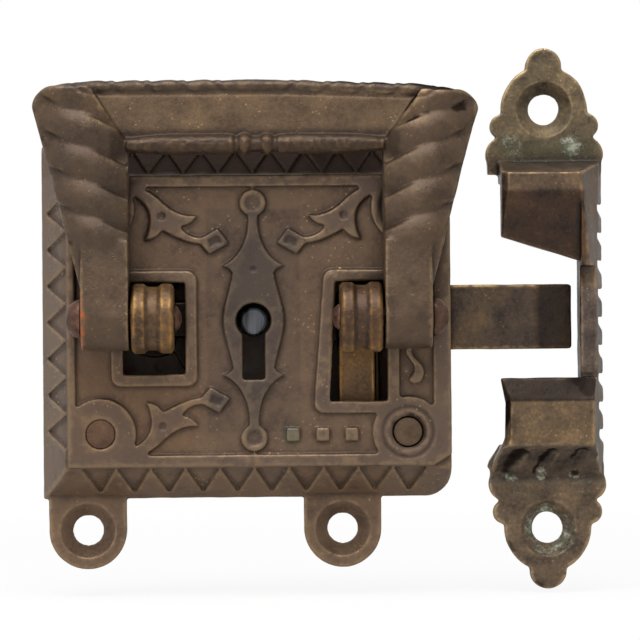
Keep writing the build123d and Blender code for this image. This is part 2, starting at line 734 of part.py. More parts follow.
spring_middle = (dog_front + dog_back) / 2
with BuildPart() as dog_spring:
    with BuildSketch(FRONT.offset(spring_middle - spring_width / 2)):
        fold = cavity_half - dog_top
        polygon([
            (-spring_foot - 3.0, cavity_half), (-spring_foot + 4.6, cavity_half),
            (-spring_foot + 6.4, cavity_half - fold * 0.14), (-spring_foot + 6.4, cavity_half - fold * 0.28),
            (-spring_foot - 1.0, dog_top), (-spring_foot - 2.6, dog_top), (-spring_foot - 4.2, dog_top + 1.0),
            (-spring_foot - 4.2, dog_top + 1.0 + spring_sheet * 1.2),
            (-spring_foot - 2.6, dog_top + spring_sheet),
            (-spring_foot - 1.2, dog_top + spring_sheet), (-spring_foot + 5.8, cavity_half - fold * 0.25),
            (-spring_foot + 5.8, cavity_half - fold * 0.18), (-spring_foot + 4.3, cavity_half - spring_sheet),
            (-spring_foot - 3.0, cavity_half - spring_sheet),
        ])
    extrude(amount=spring_width)
    with Locations((-spring_foot, -spring_middle, cavity_half - spring_sheet / 2)):
        Cylinder(spring_screw_radius + rivet_gap, 2 * spring_sheet, mode=Mode.SUBTRACT)
dog_spring.part.label = "dog_spring"
export_step(dog_spring.part, "parts/dog_spring.step")

with BuildPart() as dog_spring_screw:
    with Locations((-spring_foot, -spring_middle, cavity_half - spring_sheet - 0.4)):
        Cylinder(spring_screw_head, 0.8)
    with Locations((-spring_foot, -spring_middle, cavity_half - spring_sheet)):
        Cylinder(spring_screw_radius, spring_sheet + spring_screw_bite,
                 align=(Align.CENTER, Align.CENTER, Align.MIN))
dog_spring_screw.part.label = "dog_spring_screw"
export_step(dog_spring_screw.part, "parts/dog_spring_screw.step")

upper_cavity = hood_depth - hood_fall - hood_wall
lower_cavity = hood_depth - hood_wall
with BuildPart() as keeper:
    with BuildSketch(FRONT):
        for end in (1, -1):
            discs([(keeper_x, end * keeper_hole_z)], tab_radius)
            discs([(keeper_x, end * (keeper_tip_z - 3.7))], 3.7)
            for side in (1, -1):
                discs([(keeper_x + side * 8.6, end * (keeper_hole_z - 3.4))], 2.5)
                discs([(keeper_x + side * 8.5, end * (keeper_hole_z - 9.0))], 3.5)
            area(keeper_x - keeper_half_width, keeper_x + keeper_half_width,
                 end * (keeper_hole_z - 9.0), end * hood_top_z)
            area(keeper_x - 8.0, keeper_x + 8.0, end * (keeper_hole_z - 3.0), end * hood_top_z)
        polygon([
            (hood_left, hood_bottom_z + 1), (hood_left + foot_flare, hood_bottom_z + 1),
            (hood_left + foot_flare, -hood_top_z - 1), (hood_left - foot_flare, -hood_top_z - 1),
            (hood_left - foot_flare, -hood_top_z),
        ])
    extrude(amount=tab_thickness)
    with BuildSketch(FRONT):
        area(hood_left, hood_right + hood_side_run,
             hood_bottom_z - hood_bottom_run, hood_top_z + hood_top_run)
    extrude(amount=hood_base)
    with BuildSketch(FRONT.offset(hood_base)):
        area(hood_left, hood_right + hood_side_run,
             hood_bottom_z - hood_bottom_run, hood_top_z + hood_top_run)
    with BuildSketch(FRONT.offset(hood_depth)):
        area(hood_left, hood_right, hood_bottom_z, hood_top_z)
    loft(ruled=True)
    with BuildSketch(Plane.YZ.offset(hood_left - gap_overrun)):
        polygon([
            (-hood_depth, hood_top_z - 3.4), (-hood_depth + hood_fall, gap_top_right - 1),
            (-hood_depth - 2, gap_top_right - 1), (-hood_depth - 2, hood_top_z - 3.4),
        ])
    extrude(amount=gap_right - hood_left + gap_overrun, mode=Mode.SUBTRACT)
    with BuildSketch(Plane.YZ.offset(hood_left - gap_overrun)):
        polygon([
            (-hood_depth, gap_bottom - gap_lip), (-hood_depth + 1.6, gap_bottom),
            (-hood_depth - 2, gap_bottom), (-hood_depth - 2, gap_bottom - gap_lip),
        ])
    extrude(amount=gap_right - hood_left + gap_overrun, mode=Mode.SUBTRACT)
    with BuildSketch(FRONT):
        area(hood_left - gap_overrun, gap_right, hood_bottom_z, gap_bottom + 1)
    extrude(amount=lower_cavity, mode=Mode.SUBTRACT)
    with BuildSketch(FRONT):
        area(hood_left - gap_overrun, gap_right, gap_top_right - 1, hood_top_z - 2)
    extrude(amount=upper_cavity, mode=Mode.SUBTRACT)
    gap_slope = (gap_top_left - gap_top_right) / (gap_right - hood_left)
    with BuildSketch(FRONT):
        polygon([
            (hood_left - gap_overrun, gap_top_left + gap_overrun * gap_slope), (gap_right, gap_top_right),
            (gap_right, gap_bottom), (hood_left - gap_overrun, gap_bottom),
        ])
    extrude(amount=hood_depth + 1, mode=Mode.SUBTRACT)
    with Locations(*[FRONT.offset(tab_thickness).location * Pos(keeper_x, z, 0)
                     for z in (-keeper_hole_z, keeper_hole_z)]):
        CounterSinkHole(screw_hole_radius, screw_sink_radius, depth=tab_thickness,
                        counter_sink_angle=screw_sink_angle)
    hood_rise = hood_depth - hood_base
    edge_x = hood_right + hood_side_run
    with BuildSketch(Plane.XY.offset(hood_bottom_z - hood_bottom_run)):
        polygon([
            (hood_left, -hood_depth + face_bevel_depth), (hood_left + face_bevel, -hood_depth),
            (hood_left + face_bevel, -hood_depth - 1), (hood_left - 1, -hood_depth - 1),
            (hood_left - 1, -hood_depth + face_bevel_depth),
        ])
    extrude(amount=2 * keeper_tip_z, mode=Mode.SUBTRACT)
    for level, inset in ((hood_top_z + hood_top_run, facet_inset), (gap_top_right - 1, facet_foot_inset)):
        with BuildSketch(Plane.XY.offset(level)):
            polygon([
                (hood_right - inset, -hood_depth - 1), (edge_x + 2, -hood_depth - 1),
                (edge_x + 2, -facet_depth), (edge_x - 0.2, -facet_depth), (hood_right - inset, -hood_depth),
            ])
    loft(ruled=True, mode=Mode.SUBTRACT)
    with BuildSketch(FRONT.offset(bar_depth)):
        area(gap_right - 0.2, edge_x + 1, gap_bottom, gap_top_right - 1)
    extrude(amount=hood_depth, mode=Mode.SUBTRACT)
    with BuildSketch(FRONT):
        for index in range(teeth):
            row = (index - (teeth - 1) / 2) * tooth_pitch
            polygon([
                (edge_x - tooth_depth, row + tooth_pitch * 0.07), (edge_x + 1, row - tooth_pitch * 0.05),
                (edge_x + 1, row - tooth_pitch * 0.62), (edge_x - tooth_depth, row - tooth_pitch * 0.18),
            ])
    extrude(amount=hood_depth, mode=Mode.SUBTRACT)
    for index in (-1, 0, 1):
        flute_x = keeper_x + flute_pitch * index
        flute_middle = (flute_x, -(hood_base + hood_depth) / 2, hood_bottom_z - hood_bottom_run / 2)
        with BuildSketch(Plane(origin=flute_middle, x_dir=(1, 0, 0), z_dir=(0, -hood_bottom_run, -hood_rise))):
            SlotOverall(flute_length, flute_width, rotation=62)
        extrude(amount=-flute_depth, mode=Mode.SUBTRACT)
keeper.part.label = "keeper"
export_step(keeper.part, "parts/keeper.step")
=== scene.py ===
"""Ice box lock and its keeper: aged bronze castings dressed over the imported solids."""
import logging
import math
from dataclasses import dataclass, field
from enum import Enum
from functools import cache

import bmesh
import bpy
import numpy as np
from mathutils import Matrix, Vector
from mathutils.bvhtree import BVHTree
from mathutils.kdtree import KDTree


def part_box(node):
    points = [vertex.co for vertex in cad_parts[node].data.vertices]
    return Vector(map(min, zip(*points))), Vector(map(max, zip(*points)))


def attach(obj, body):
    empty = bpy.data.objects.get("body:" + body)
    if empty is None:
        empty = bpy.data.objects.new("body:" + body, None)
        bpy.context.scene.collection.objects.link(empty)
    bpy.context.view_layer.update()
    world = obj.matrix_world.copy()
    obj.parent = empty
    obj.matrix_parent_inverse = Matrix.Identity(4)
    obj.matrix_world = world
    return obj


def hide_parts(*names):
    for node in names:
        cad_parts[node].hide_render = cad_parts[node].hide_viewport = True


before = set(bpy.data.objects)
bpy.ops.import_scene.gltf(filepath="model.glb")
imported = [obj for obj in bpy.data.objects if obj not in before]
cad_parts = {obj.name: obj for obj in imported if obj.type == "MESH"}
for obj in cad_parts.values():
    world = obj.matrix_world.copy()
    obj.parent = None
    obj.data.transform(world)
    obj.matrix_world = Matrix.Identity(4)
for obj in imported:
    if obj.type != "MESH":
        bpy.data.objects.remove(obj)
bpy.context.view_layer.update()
LOG = logging.getLogger("ice_box_lock")
MM = 0.001
Pair = tuple[float, float]
Point = tuple[float, float, float]
Material = bpy.types.Material
Socket = bpy.types.NodeSocket


class Body(Enum):
    """The bodies that the dressed pieces ride on."""

    LOCK = "lock_body"
    LEVER = "lever_body"
    HANDLE = "handle_body"


class Deposit(Enum):
    """What has grown on a surface over the years."""

    VERDIGRIS = "verdigris"
    RUST = "rust"


class Spread(Enum):
    """How a zone is bounded: by a box or by a round."""

    BOX = "soft_box"
    ROUND = "soft_round"


@dataclass(frozen=True)
class Tone:
    """A colour as it looks on a screen, each part from 0 to 255."""

    red: float
    green: float
    blue: float

    def linear(self) -> tuple[float, float, float, float]:
        """Give the colour in linear light.

        Returns:
            Red, green and blue from 0 to 1, and 1 for opaque.
        """
        parts = []
        for part in (self.red, self.green, self.blue):
            share = part / 255.0
            parts.append(share / 12.92 if share <= 0.04045 else ((share + 0.055) / 1.055) ** 2.4)
        return parts[0], parts[1], parts[2], 1.0


@dataclass(frozen=True)
class Zone:
    """A soft-edged place on a piece where the years have changed its tone, or where shade is painted in."""

    low: Point
    high: Point
    gain: Point = (1.0, 1.0, 1.0)
    soft: float = 0.8
    ragged: float = 1.5
    cover: float = 0.0
    # How much painted shade the zone lays on, from 0 to 1.
    shade: float = 0.0
    stain: Tone | None = None
    stain_scale: float = 800.0
    spread: Spread = Spread.BOX

    def middle(self) -> Point:
        """Give the middle of the box in metres."""
        return tuple((first + last) * 0.5 * MM for first, last in zip(self.low, self.high))

    def half(self) -> Point:
        """Give half the size of the box in metres."""
        return tuple((last - first) * 0.5 * MM for first, last in zip(self.low, self.high))


DEPOSIT_TONES = {
    Deposit.VERDIGRIS: (Tone(96, 100, 82), Tone(168, 168, 150)),
    Deposit.RUST: (Tone(104, 52, 32), Tone(142, 80, 46)),
}
WHITE = (1.0, 1.0, 1.0, 1.0)


class Wiring:
    """A node tree with short ways to add and join nodes."""

    def __init__(self, tree: bpy.types.NodeTree) -> None:
        """Keep the tree that nodes are added to."""
        self.tree = tree

    def add(self, kind: str, values: dict | None = None, **settings: object) -> bpy.types.Node:
        """Add a node.

        Args:
            kind: The node's type name.
            values: Input names or numbers, each with a socket to join or a value to set.
            settings: Properties of the node itself.

        Returns:
            The new node.
        """
        node = self.tree.nodes.new(kind)
        for name, value in settings.items():
            setattr(node, name, value)
        for name, value in (values or {}).items():
            if isinstance(value, Socket):
                self.tree.links.new(value, node.inputs[name])
            else:
                node.inputs[name].default_value = value
        return node

    def math(self, operation: str, first: object, second: object = 0.0, clamp: bool = False) -> Socket:
        """Add a Math node and give its result."""
        node = self.add("ShaderNodeMath", {0: first, 1: second}, operation=operation, use_clamp=clamp)
        return node.outputs[0]

    def times(self, first: object, second: object, clamp: bool = False) -> Socket:
        """Multiply two values."""
        return self.math("MULTIPLY", first, second, clamp)

    def ramp(self, value: object, low: float, high: float, start: float = 0.0, end: float = 1.0) -> Socket:
        """Add a smooth step between two values and give its result."""
        node = self.add("ShaderNodeMapRange", {0: value, 1: low, 2: high, 3: start, 4: end},
                        interpolation_type="SMOOTHSTEP", clamp=True)
        return node.outputs[0]

    def tint(self, share: object, first: object, second: object) -> Socket:
        """Add a colour mix and give its result."""
        node = self.add("ShaderNodeMix", {0: share, 6: first, 7: second}, data_type="RGBA")
        return node.outputs[2]

    def noise(self, place: object, scale: object, detail: float = 4.0, rough: float = 0.55) -> Socket:
        """Add a noise texture and give its value."""
        node = self.add("ShaderNodeTexNoise", {"Vector": place, "Scale": scale, "Detail": detail,
                                               "Roughness": rough})
        return node.outputs[0]

    def vector(self, operation: str, first: object, second: object = (0.0, 0.0, 0.0)) -> Socket:
        """Add a Vector Math node and give its result."""
        node = self.add("ShaderNodeVectorMath", {0: first, 1: second}, operation=operation)
        return node.outputs["Value" if operation == "LENGTH" else "Vector"]

    def blend(self, first: object, share: float, second: object, other: float) -> Socket:
        """Add up two values, each with its share."""
        return self.math("ADD", self.times(first, share), self.times(second, other))

    def group(self, name: str, values: dict) -> bpy.types.NodeOutputs:
        """Place a shared shader group in this tree and give its outputs."""
        return self.add("ShaderNodeGroup", values, node_tree=bpy.data.node_groups[name]).outputs


def open_tree(name: str, kind: str, takes: str, gives: str) -> tuple[Wiring, bpy.types.NodeOutputs]:
    """Open a node tree that has named inputs and outputs.

    Args:
        name: The tree's name.
        kind: The tree's type name.
        takes: The inputs, each as name:type.
        gives: The outputs, each as name:type.

    Returns:
        The wiring and the input sockets.
    """
    tree = bpy.data.node_groups.new(name, kind)
    for side, labels in (("INPUT", takes), ("OUTPUT", gives)):
        for label in labels.split():
            title, socket = label.split(":")
            tree.interface.new_socket(title, in_out=side, socket_type=f"NodeSocket{socket}")
    wiring = Wiring(tree)
    return wiring, wiring.add("NodeGroupInput").outputs


def new_material(name: str) -> tuple[Material, Wiring]:
    """Make an empty material.

    Args:
        name: The material's name.

    Returns:
        The material and the wiring of its tree.
    """
    material = bpy.data.materials.new(name)
    material.use_nodes = True
    material.node_tree.nodes.clear()
    return material, Wiring(material.node_tree)


def add_object(name: str, data: bpy.types.ID) -> bpy.types.Object:
    """Put a new object in the scene.

    Args:
        name: The object's name.
        data: Its mesh, light or camera.

    Returns:
        The new object.
    """
    made = bpy.data.objects.new(name, data)
    bpy.context.scene.collection.objects.link(made)
    return made


def evaluated(mesh: bpy.types.Mesh, kind: str, sizes: dict[str, object] | None = None,
              **settings: object) -> bpy.types.Mesh:
    """Run one modifier over a mesh and use the mesh up.

    Args:
        mesh: What the modifier works on.
        kind: The modifier's type name.
        sizes: A node tree's inputs by name.
        settings: Properties of the modifier.

    Returns:
        The result as a plain mesh.
    """
    carrier = add_object("carrier", mesh)
    modifier = carrier.modifiers.new("work", kind)
    for name, value in settings.items():
        setattr(modifier, name, value)
    if sizes:
        for item in modifier.node_group.interface.items_tree:
            if item.in_out == "INPUT" and item.name in sizes:
                modifier[item.identifier] = sizes[item.name]
    graph = bpy.context.evaluated_depsgraph_get()
    result = bpy.data.meshes.new_from_object(carrier.evaluated_get(graph))
    bpy.data.objects.remove(carrier)
    bpy.data.meshes.remove(mesh)
    return result


def held_inside(points: np.ndarray, node: str) -> np.ndarray:
    """Hold points inside a CAD node's box."""
    low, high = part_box(node)
    return np.clip(points, np.array(low), np.array(high))


class SharedEffects:
    """Shader groups that every finish of the lock draws on."""

    zone_inputs = "Place:Vector Middle:Vector Half:Vector Soft:Float Ragged:Float"
    drift_scale = 420.0

    def build(self) -> None:
        """Build all shared groups once."""
        for make in (self.patina, self.rubbed_edges, self.crevice_grime_and_shade, self.bloom, self.cast_skin,
                     self.glints, self.soft_box, self.soft_round):
            make()

    @staticmethod
    def start(name: str, takes: str, gives: str = "Mask:Float") -> tuple[Wiring, bpy.types.NodeOutputs]:
        """Open a shader group."""
        return open_tree(name, "ShaderNodeTree", takes, gives)

    def patina(self) -> None:
        """Mottle a surface between a dark, a middle and a light tone."""
        wiring, given = self.start("patina", "Place:Vector Dark:Color Middle:Color Light:Color Scale:Float",
                                   "Color:Color Cloud:Float")
        broad = wiring.noise(given["Place"], given["Scale"], 5.0, 0.6)
        fine = wiring.noise(given["Place"], wiring.times(given["Scale"], 7.3), 4.0, 0.62)
        cloud = wiring.blend(broad, 0.62, fine, 0.38)
        lower = wiring.tint(wiring.ramp(cloud, 0.36, 0.51), given["Dark"], given["Middle"])
        whole = wiring.tint(wiring.ramp(cloud, 0.49, 0.66), lower, given["Light"])
        wiring.add("NodeGroupOutput", {"Color": whole, "Cloud": cloud})

    def rubbed_edges(self) -> None:
        """Mark the high edges that hands have rubbed."""
        self.patchy("rubbed_edges", "Wear", (5.0, 0.65), (0.28, 0.68, 0.25, 1.25), (0.12, 0.85))

    def crevice_grime_and_shade(self) -> None:
        """Mark the hollows, which darken partly as soiling and partly as painted shade."""
        self.patchy("crevice_grime_and_shade", "Hollow", (4.0, 0.6), (0.25, 0.65, 0.55, 1.2), (0.05, 0.7))

    def patchy(self, name: str, source: str, texture: Pair, patch: tuple[float, ...], level: Pair) -> None:
        """Mark a measured value in broken patches.

        Args:
            name: The group's name.
            source: The input that holds the value.
            texture: The detail and the roughness of the patches.
            patch: The span of the noise, then the share at either end.
            level: The span over which the mask grows.
        """
        wiring, given = self.start(name, f"Place:Vector {source}:Float Scale:Float Amount:Float")
        noise = wiring.noise(given["Place"], given["Scale"], *texture)
        held = wiring.times(given[source], wiring.ramp(noise, *patch))
        mask = wiring.times(wiring.ramp(held, *level), given["Amount"], clamp=True)
        wiring.add("NodeGroupOutput", {"Mask": mask})

    def bloom(self) -> None:
        """Mark patches of rust or verdigris, thicker in hollows."""
        wiring, given = self.start("bloom", "Place:Vector Hollow:Float Scale:Float Cover:Float Cling:Float")
        broad = wiring.noise(given["Place"], given["Scale"], 6.0, 0.68)
        fine = wiring.noise(given["Place"], wiring.times(given["Scale"], 9.0), 3.0, 0.6)
        body = wiring.blend(broad, 0.7, fine, 0.3)
        reach = wiring.math("ADD", body, wiring.times(given["Hollow"], given["Cling"]))
        level = wiring.math("SUBTRACT", wiring.math("ADD", reach, given["Cover"]), 1.0)
        wiring.add("NodeGroupOutput", {"Mask": wiring.ramp(level, -0.06, 0.16)})

    def cast_skin(self) -> None:
        """Give the height of a sand-cast skin with fine pits."""
        wiring, given = self.start("cast_skin", "Place:Vector Grain:Float Pits:Float Depth:Float",
                                   "Height:Float")
        sand = wiring.noise(given["Place"], given["Grain"], 6.0, 0.62)
        swell = wiring.noise(given["Place"], wiring.times(given["Grain"], 0.16), 3.0, 0.5)
        cells = wiring.add("ShaderNodeTexVoronoi", {"Vector": given["Place"], "Scale": given["Pits"]})
        pit = wiring.ramp(cells.outputs["Distance"], 0.05, 0.3, 1.0, 0.0)
        rare = wiring.noise(given["Place"], wiring.times(given["Pits"], 0.3))
        hole = wiring.times(pit, wiring.ramp(rare, 0.5, 0.62))
        ground = wiring.blend(sand, 0.6, swell, 1.2)
        height = wiring.math("SUBTRACT", ground, wiring.times(hole, given["Depth"]))
        wiring.add("NodeGroupOutput", {"Height": height})

    def glints(self) -> None:
        """Mark small scattered flecks of bare metal, painted bright as glints."""
        wiring, given = self.start("glints", "Place:Vector Scale:Float Amount:Float")
        cells = wiring.add("ShaderNodeTexVoronoi", {"Vector": given["Place"], "Scale": given["Scale"]})
        fleck = wiring.ramp(cells.outputs["Distance"], 0.1, 0.26, 1.0, 0.0)
        patch = wiring.noise(given["Place"], wiring.times(given["Scale"], 0.22), 3.0, 0.6)
        sparse = wiring.times(fleck, wiring.ramp(patch, 0.48, 0.64))
        wiring.add("NodeGroupOutput", {"Mask": wiring.times(sparse, given["Amount"])})

    def soft_box(self) -> None:
        """Mark the inside of a box with a soft, ragged border."""
        wiring, given = self.start("soft_box", self.zone_inputs)
        away = wiring.vector("ABSOLUTE", wiring.vector("SUBTRACT", given["Place"], given["Middle"]))
        beyond = wiring.vector("SUBTRACT", away, given["Half"])
        parts = wiring.add("ShaderNodeSeparateXYZ", {"Vector": beyond}).outputs
        outside = wiring.math("MAXIMUM", wiring.math("MAXIMUM", parts["X"], parts["Y"]), parts["Z"])
        self.border(wiring, given, outside)

    def soft_round(self) -> None:
        """Mark the inside of a round with a soft, ragged border."""
        wiring, given = self.start("soft_round", self.zone_inputs)
        away = wiring.vector("SUBTRACT", given["Place"], given["Middle"])
        length = wiring.vector("LENGTH", wiring.vector("DIVIDE", away, given["Half"]))
        reach = wiring.add("ShaderNodeSeparateXYZ", {"Vector": given["Half"]}).outputs["X"]
        outside = wiring.times(wiring.math("SUBTRACT", length, 1.0), reach)
        self.border(wiring, given, outside)

    def border(self, wiring: Wiring, given: bpy.types.NodeOutputs, outside: Socket) -> None:
        """Turn the distance outside a shape into its soft, ragged mask.

        Args:
            wiring: The group's nodes.
            given: The group's inputs.
            outside: The distance outside the shape.
        """
        drift = wiring.math("SUBTRACT", wiring.noise(given["Place"], self.drift_scale, 4.0, 0.6), 0.5)
        outside = wiring.math("ADD", outside, wiring.times(drift, given["Ragged"]))
        level = wiring.math("DIVIDE", outside, given["Soft"])
        wiring.add("NodeGroupOutput", {"Mask": wiring.ramp(level, -1.0, 1.0, 1.0, 0.0)})


@dataclass(frozen=True)
class BronzeFinish:
    """Aged cast bronze: mottled brown skin, rubbed edges, dark hollows that are partly soiled and partly
    painted shade, and painted shade where the pieces close a place in.
    """

    name: str
    dark: Tone = Tone(80, 64, 52)
    middle: Tone = Tone(97, 79, 63)
    light: Tone = Tone(112, 92, 72)
    bare: Tone = Tone(140, 116, 88)
    # Near-black tone of the hollows: partly soiling, partly painted shade.
    grime_and_shade: Tone = Tone(34, 27, 23)
    # The painted shade tone for sheltered places, and the tint that dims their sheen.
    painted_shade_tone: Tone = Tone(30, 25, 23)
    shade_sheen_tint: Tone = Tone(150, 118, 96)
    deposit: Deposit = Deposit.VERDIGRIS
    cover: float = 0.12
    cling: float = 0.2
    deposit_scale: float = 260.0
    patina_scale: float = 190.0
    grime_and_shade_scale: float = 420.0
    rub_scale: float = 520.0
    glint_scale: float = 900.0
    crust_scale: float = 700.0
    rub: float = 0.45
    grime_and_shade_share: float = 0.9
    glint: float = 0.5
    metallic: float = 0.45
    rough_low: float = 0.38
    rough_high: float = 0.58
    rub_smooth: float = 0.12
    rub_metal: float = 0.4
    crust_rough: float = 0.3
    specular: float = 0.3
    # How strongly the measured occlusion is painted in as shade.
    shelter: float = 0.85
    shelter_span: Pair = (0.25, 0.95)
    grain: float = 2300.0
    pits: float = 1300.0
    pit_depth: float = 0.7
    bump: float = 0.75
    bump_depth: float = 0.12
    raised: Tone | None = None
    raised_from: float = 13.3
    raised_to: float = 13.8
    raised_share: float = 0.55
    zones: tuple[Zone, ...] = ()

    def build(self) -> Material:
        """Build the material.

        Returns:
            The finished material.
        """
        material, wiring = new_material(self.name)
        place = wiring.add("ShaderNodeTexCoord").outputs["Object"]
        wear, hollow, shelter = (wiring.add("ShaderNodeAttribute", attribute_name=label).outputs["Fac"]
                                 for label in ("wear", "hollow", "shelter"))
        patina = wiring.group("patina", {
            "Place": place, "Dark": self.dark.linear(), "Middle": self.middle.linear(),
            "Light": self.light.linear(), "Scale": self.patina_scale})
        colour = patina["Color"]
        if self.raised is not None:
            colour = self.tint_raised(wiring, place, colour)
        # The hollows darken towards a near-black tone: partly soiling, partly painted shade in creases.
        grime_and_shade = wiring.group("crevice_grime_and_shade", {
            "Place": place, "Hollow": hollow, "Scale": self.grime_and_shade_scale, "Amount": self.grime_and_shade_share})["Mask"]
        colour = wiring.tint(grime_and_shade, colour, self.grime_and_shade.linear())
        rubbed = wiring.group("rubbed_edges", {
            "Place": place, "Wear": wear, "Scale": self.rub_scale, "Amount": self.rub})["Mask"]
        glint = wiring.group("glints", {
            "Place": place, "Scale": self.glint_scale, "Amount": self.glint})["Mask"]
        bright = wiring.math("MAXIMUM", rubbed, glint)
        colour = wiring.tint(bright, colour, self.bare.linear())
        # Painted shade: the occlusion baked into the shelter attribute darkens the colour towards the painted
        # shade tone.
        hidden = wiring.times(wiring.ramp(shelter, *self.shelter_span), self.shelter, clamp=True)
        cover = self.cover
        for zone in self.zones:
            mask = self.zone_mask(wiring, place, zone)
            colour = self.tint_zone(wiring, place, colour, mask, zone)
            if zone.cover:
                cover = wiring.math("ADD", wiring.times(mask, zone.cover), cover)
            if zone.shade:
                hidden = wiring.math("MAXIMUM", wiring.times(mask, zone.shade), hidden)
        bloom = wiring.group("bloom", {
            "Place": place, "Hollow": hollow, "Scale": self.deposit_scale, "Cover": cover,
            "Cling": self.cling})["Mask"]
        deep, pale = DEPOSIT_TONES[self.deposit]
        crust = wiring.ramp(wiring.noise(place, self.crust_scale, 5.0, 0.65), 0.42, 0.6)
        colour = wiring.tint(bloom, colour, wiring.tint(crust, deep.linear(), pale.linear()))
        colour = wiring.tint(hidden, colour, self.painted_shade_tone.linear())
        height = wiring.group("cast_skin", {
            "Place": place, "Grain": self.grain, "Pits": self.pits, "Depth": self.pit_depth})["Height"]
        bump = wiring.add("ShaderNodeBump", {
            "Height": height, "Strength": self.bump, "Distance": self.bump_depth * MM})
        rough = wiring.ramp(patina["Cloud"], 0.35, 0.65, self.rough_low, self.rough_high)
        rough = wiring.math("SUBTRACT", rough, wiring.times(bright, self.rub_smooth))
        rough = wiring.math("ADD", rough, wiring.times(bloom, self.crust_rough), clamp=True)
        metal = wiring.times(wiring.math("SUBTRACT", 1.0, bloom), self.metallic)
        metal = wiring.math("ADD", metal, wiring.times(bright, self.rub_metal))
        # Painted shade also makes sheltered places metallic and tints their sheen dark, so they lose the
        # white reflection.
        metal = wiring.math("MAXIMUM", metal, hidden, clamp=True)
        sheen = wiring.tint(hidden, WHITE, self.shade_sheen_tint.linear())
        shader = wiring.add("ShaderNodeBsdfPrincipled", {
            "Base Color": colour, "Roughness": rough, "Metallic": metal, "Normal": bump.outputs["Normal"],
            "Specular IOR Level": self.specular, "Specular Tint": sheen})
        wiring.add("ShaderNodeOutputMaterial", {"Surface": shader.outputs["BSDF"]})
        return material

    def tint_raised(self, wiring: Wiring, place: Socket, colour: Socket) -> Socket:
        """Give the raised ornament its cooler tone.

        Args:
            wiring: The material's nodes.
            place: Where a point of the surface is.
            colour: The colour so far.

        Returns:
            The new colour.
        """
        parts = wiring.add("ShaderNodeSeparateXYZ", {"Vector": place})
        depth = wiring.times(parts.outputs["Y"], -1.0)
        share = wiring.ramp(depth, self.raised_from * MM, self.raised_to * MM, 0.0, self.raised_share)
        return wiring.tint(share, colour, self.raised.linear())

    @staticmethod
    def zone_mask(wiring: Wiring, place: Socket, zone: Zone) -> Socket:
        """Mark the inside of one zone."""
        return wiring.group(zone.spread.value, {
            "Place": place, "Middle": zone.middle(), "Half": zone.half(), "Soft": zone.soft * MM,
            "Ragged": zone.ragged * MM})["Mask"]

    @staticmethod
    def tint_zone(wiring: Wiring, place: Socket, colour: Socket, mask: Socket, zone: Zone) -> Socket:
        """Change the tone inside one zone.

        Args:
            wiring: The material's nodes.
            place: Where a point of the surface is.
            colour: The colour so far.
            mask: The inside of the zone.
            zone: The zone.

        Returns:
            The new colour.
        """
        if zone.stain is not None:
            patch = wiring.ramp(wiring.noise(place, zone.stain_scale, 5.0, 0.65), 0.36, 0.6)
            return wiring.tint(wiring.times(mask, patch), colour, zone.stain.linear())
        changed = wiring.add("ShaderNodeMix", {0: 1.0, 6: colour, 7: (*zone.gain, 1.0)}, data_type="RGBA",
                             blend_type="MULTIPLY")
        return wiring.tint(mask, colour, changed.outputs[2])


@dataclass(frozen=True)
class SteelFinish:
    """Plain steel that has darkened, with streaks and specks of rust."""

    name: str
    dark: Tone = Tone(46, 44, 44)
    light: Tone = Tone(98, 96, 96)
    rust: Tone = Tone(92, 58, 40)
    cover: float = 0.3
    rust_scale: float = 420.0
    crust_rough: float = 0.3
    crust_dull: float = 0.5
    streak: Point = (2600.0, 300.0, 300.0)
    metallic: float = 0.85
    rough_low: float = 0.28
    rough_high: float = 0.5
    bump: float = 0.25
    bump_depth: float = 0.08

    def build(self) -> Material:
        """Build the material.

        Returns:
            The finished material.
        """
        material, wiring = new_material(self.name)
        place = wiring.add("ShaderNodeTexCoord").outputs["Object"]
        drawn = wiring.add("ShaderNodeMapping", {"Vector": place, "Scale": self.streak}).outputs["Vector"]
        streaks = wiring.noise(drawn, 1.0, 4.0, 0.6)
        colour = wiring.tint(wiring.ramp(streaks, 0.36, 0.66), self.dark.linear(), self.light.linear())
        bloom = wiring.group("bloom", {
            "Place": place, "Hollow": 0.0, "Scale": self.rust_scale, "Cover": self.cover,
            "Cling": 0.0})["Mask"]
        colour = wiring.tint(bloom, colour, self.rust.linear())
        rough = wiring.ramp(streaks, 0.3, 0.7, self.rough_low, self.rough_high)
        rough = wiring.math("ADD", rough, wiring.times(bloom, self.crust_rough), clamp=True)
        metal = wiring.math("SUBTRACT", self.metallic, wiring.times(bloom, self.crust_dull))
        bump = wiring.add("ShaderNodeBump", {
            "Height": streaks, "Strength": self.bump, "Distance": self.bump_depth * MM})
        shader = wiring.add("ShaderNodeBsdfPrincipled", {
            "Base Color": colour, "Roughness": rough, "Metallic": metal, "Normal": bump.outputs["Normal"]})
        wiring.add("ShaderNodeOutputMaterial", {"Surface": shader.outputs["BSDF"]})
        return material


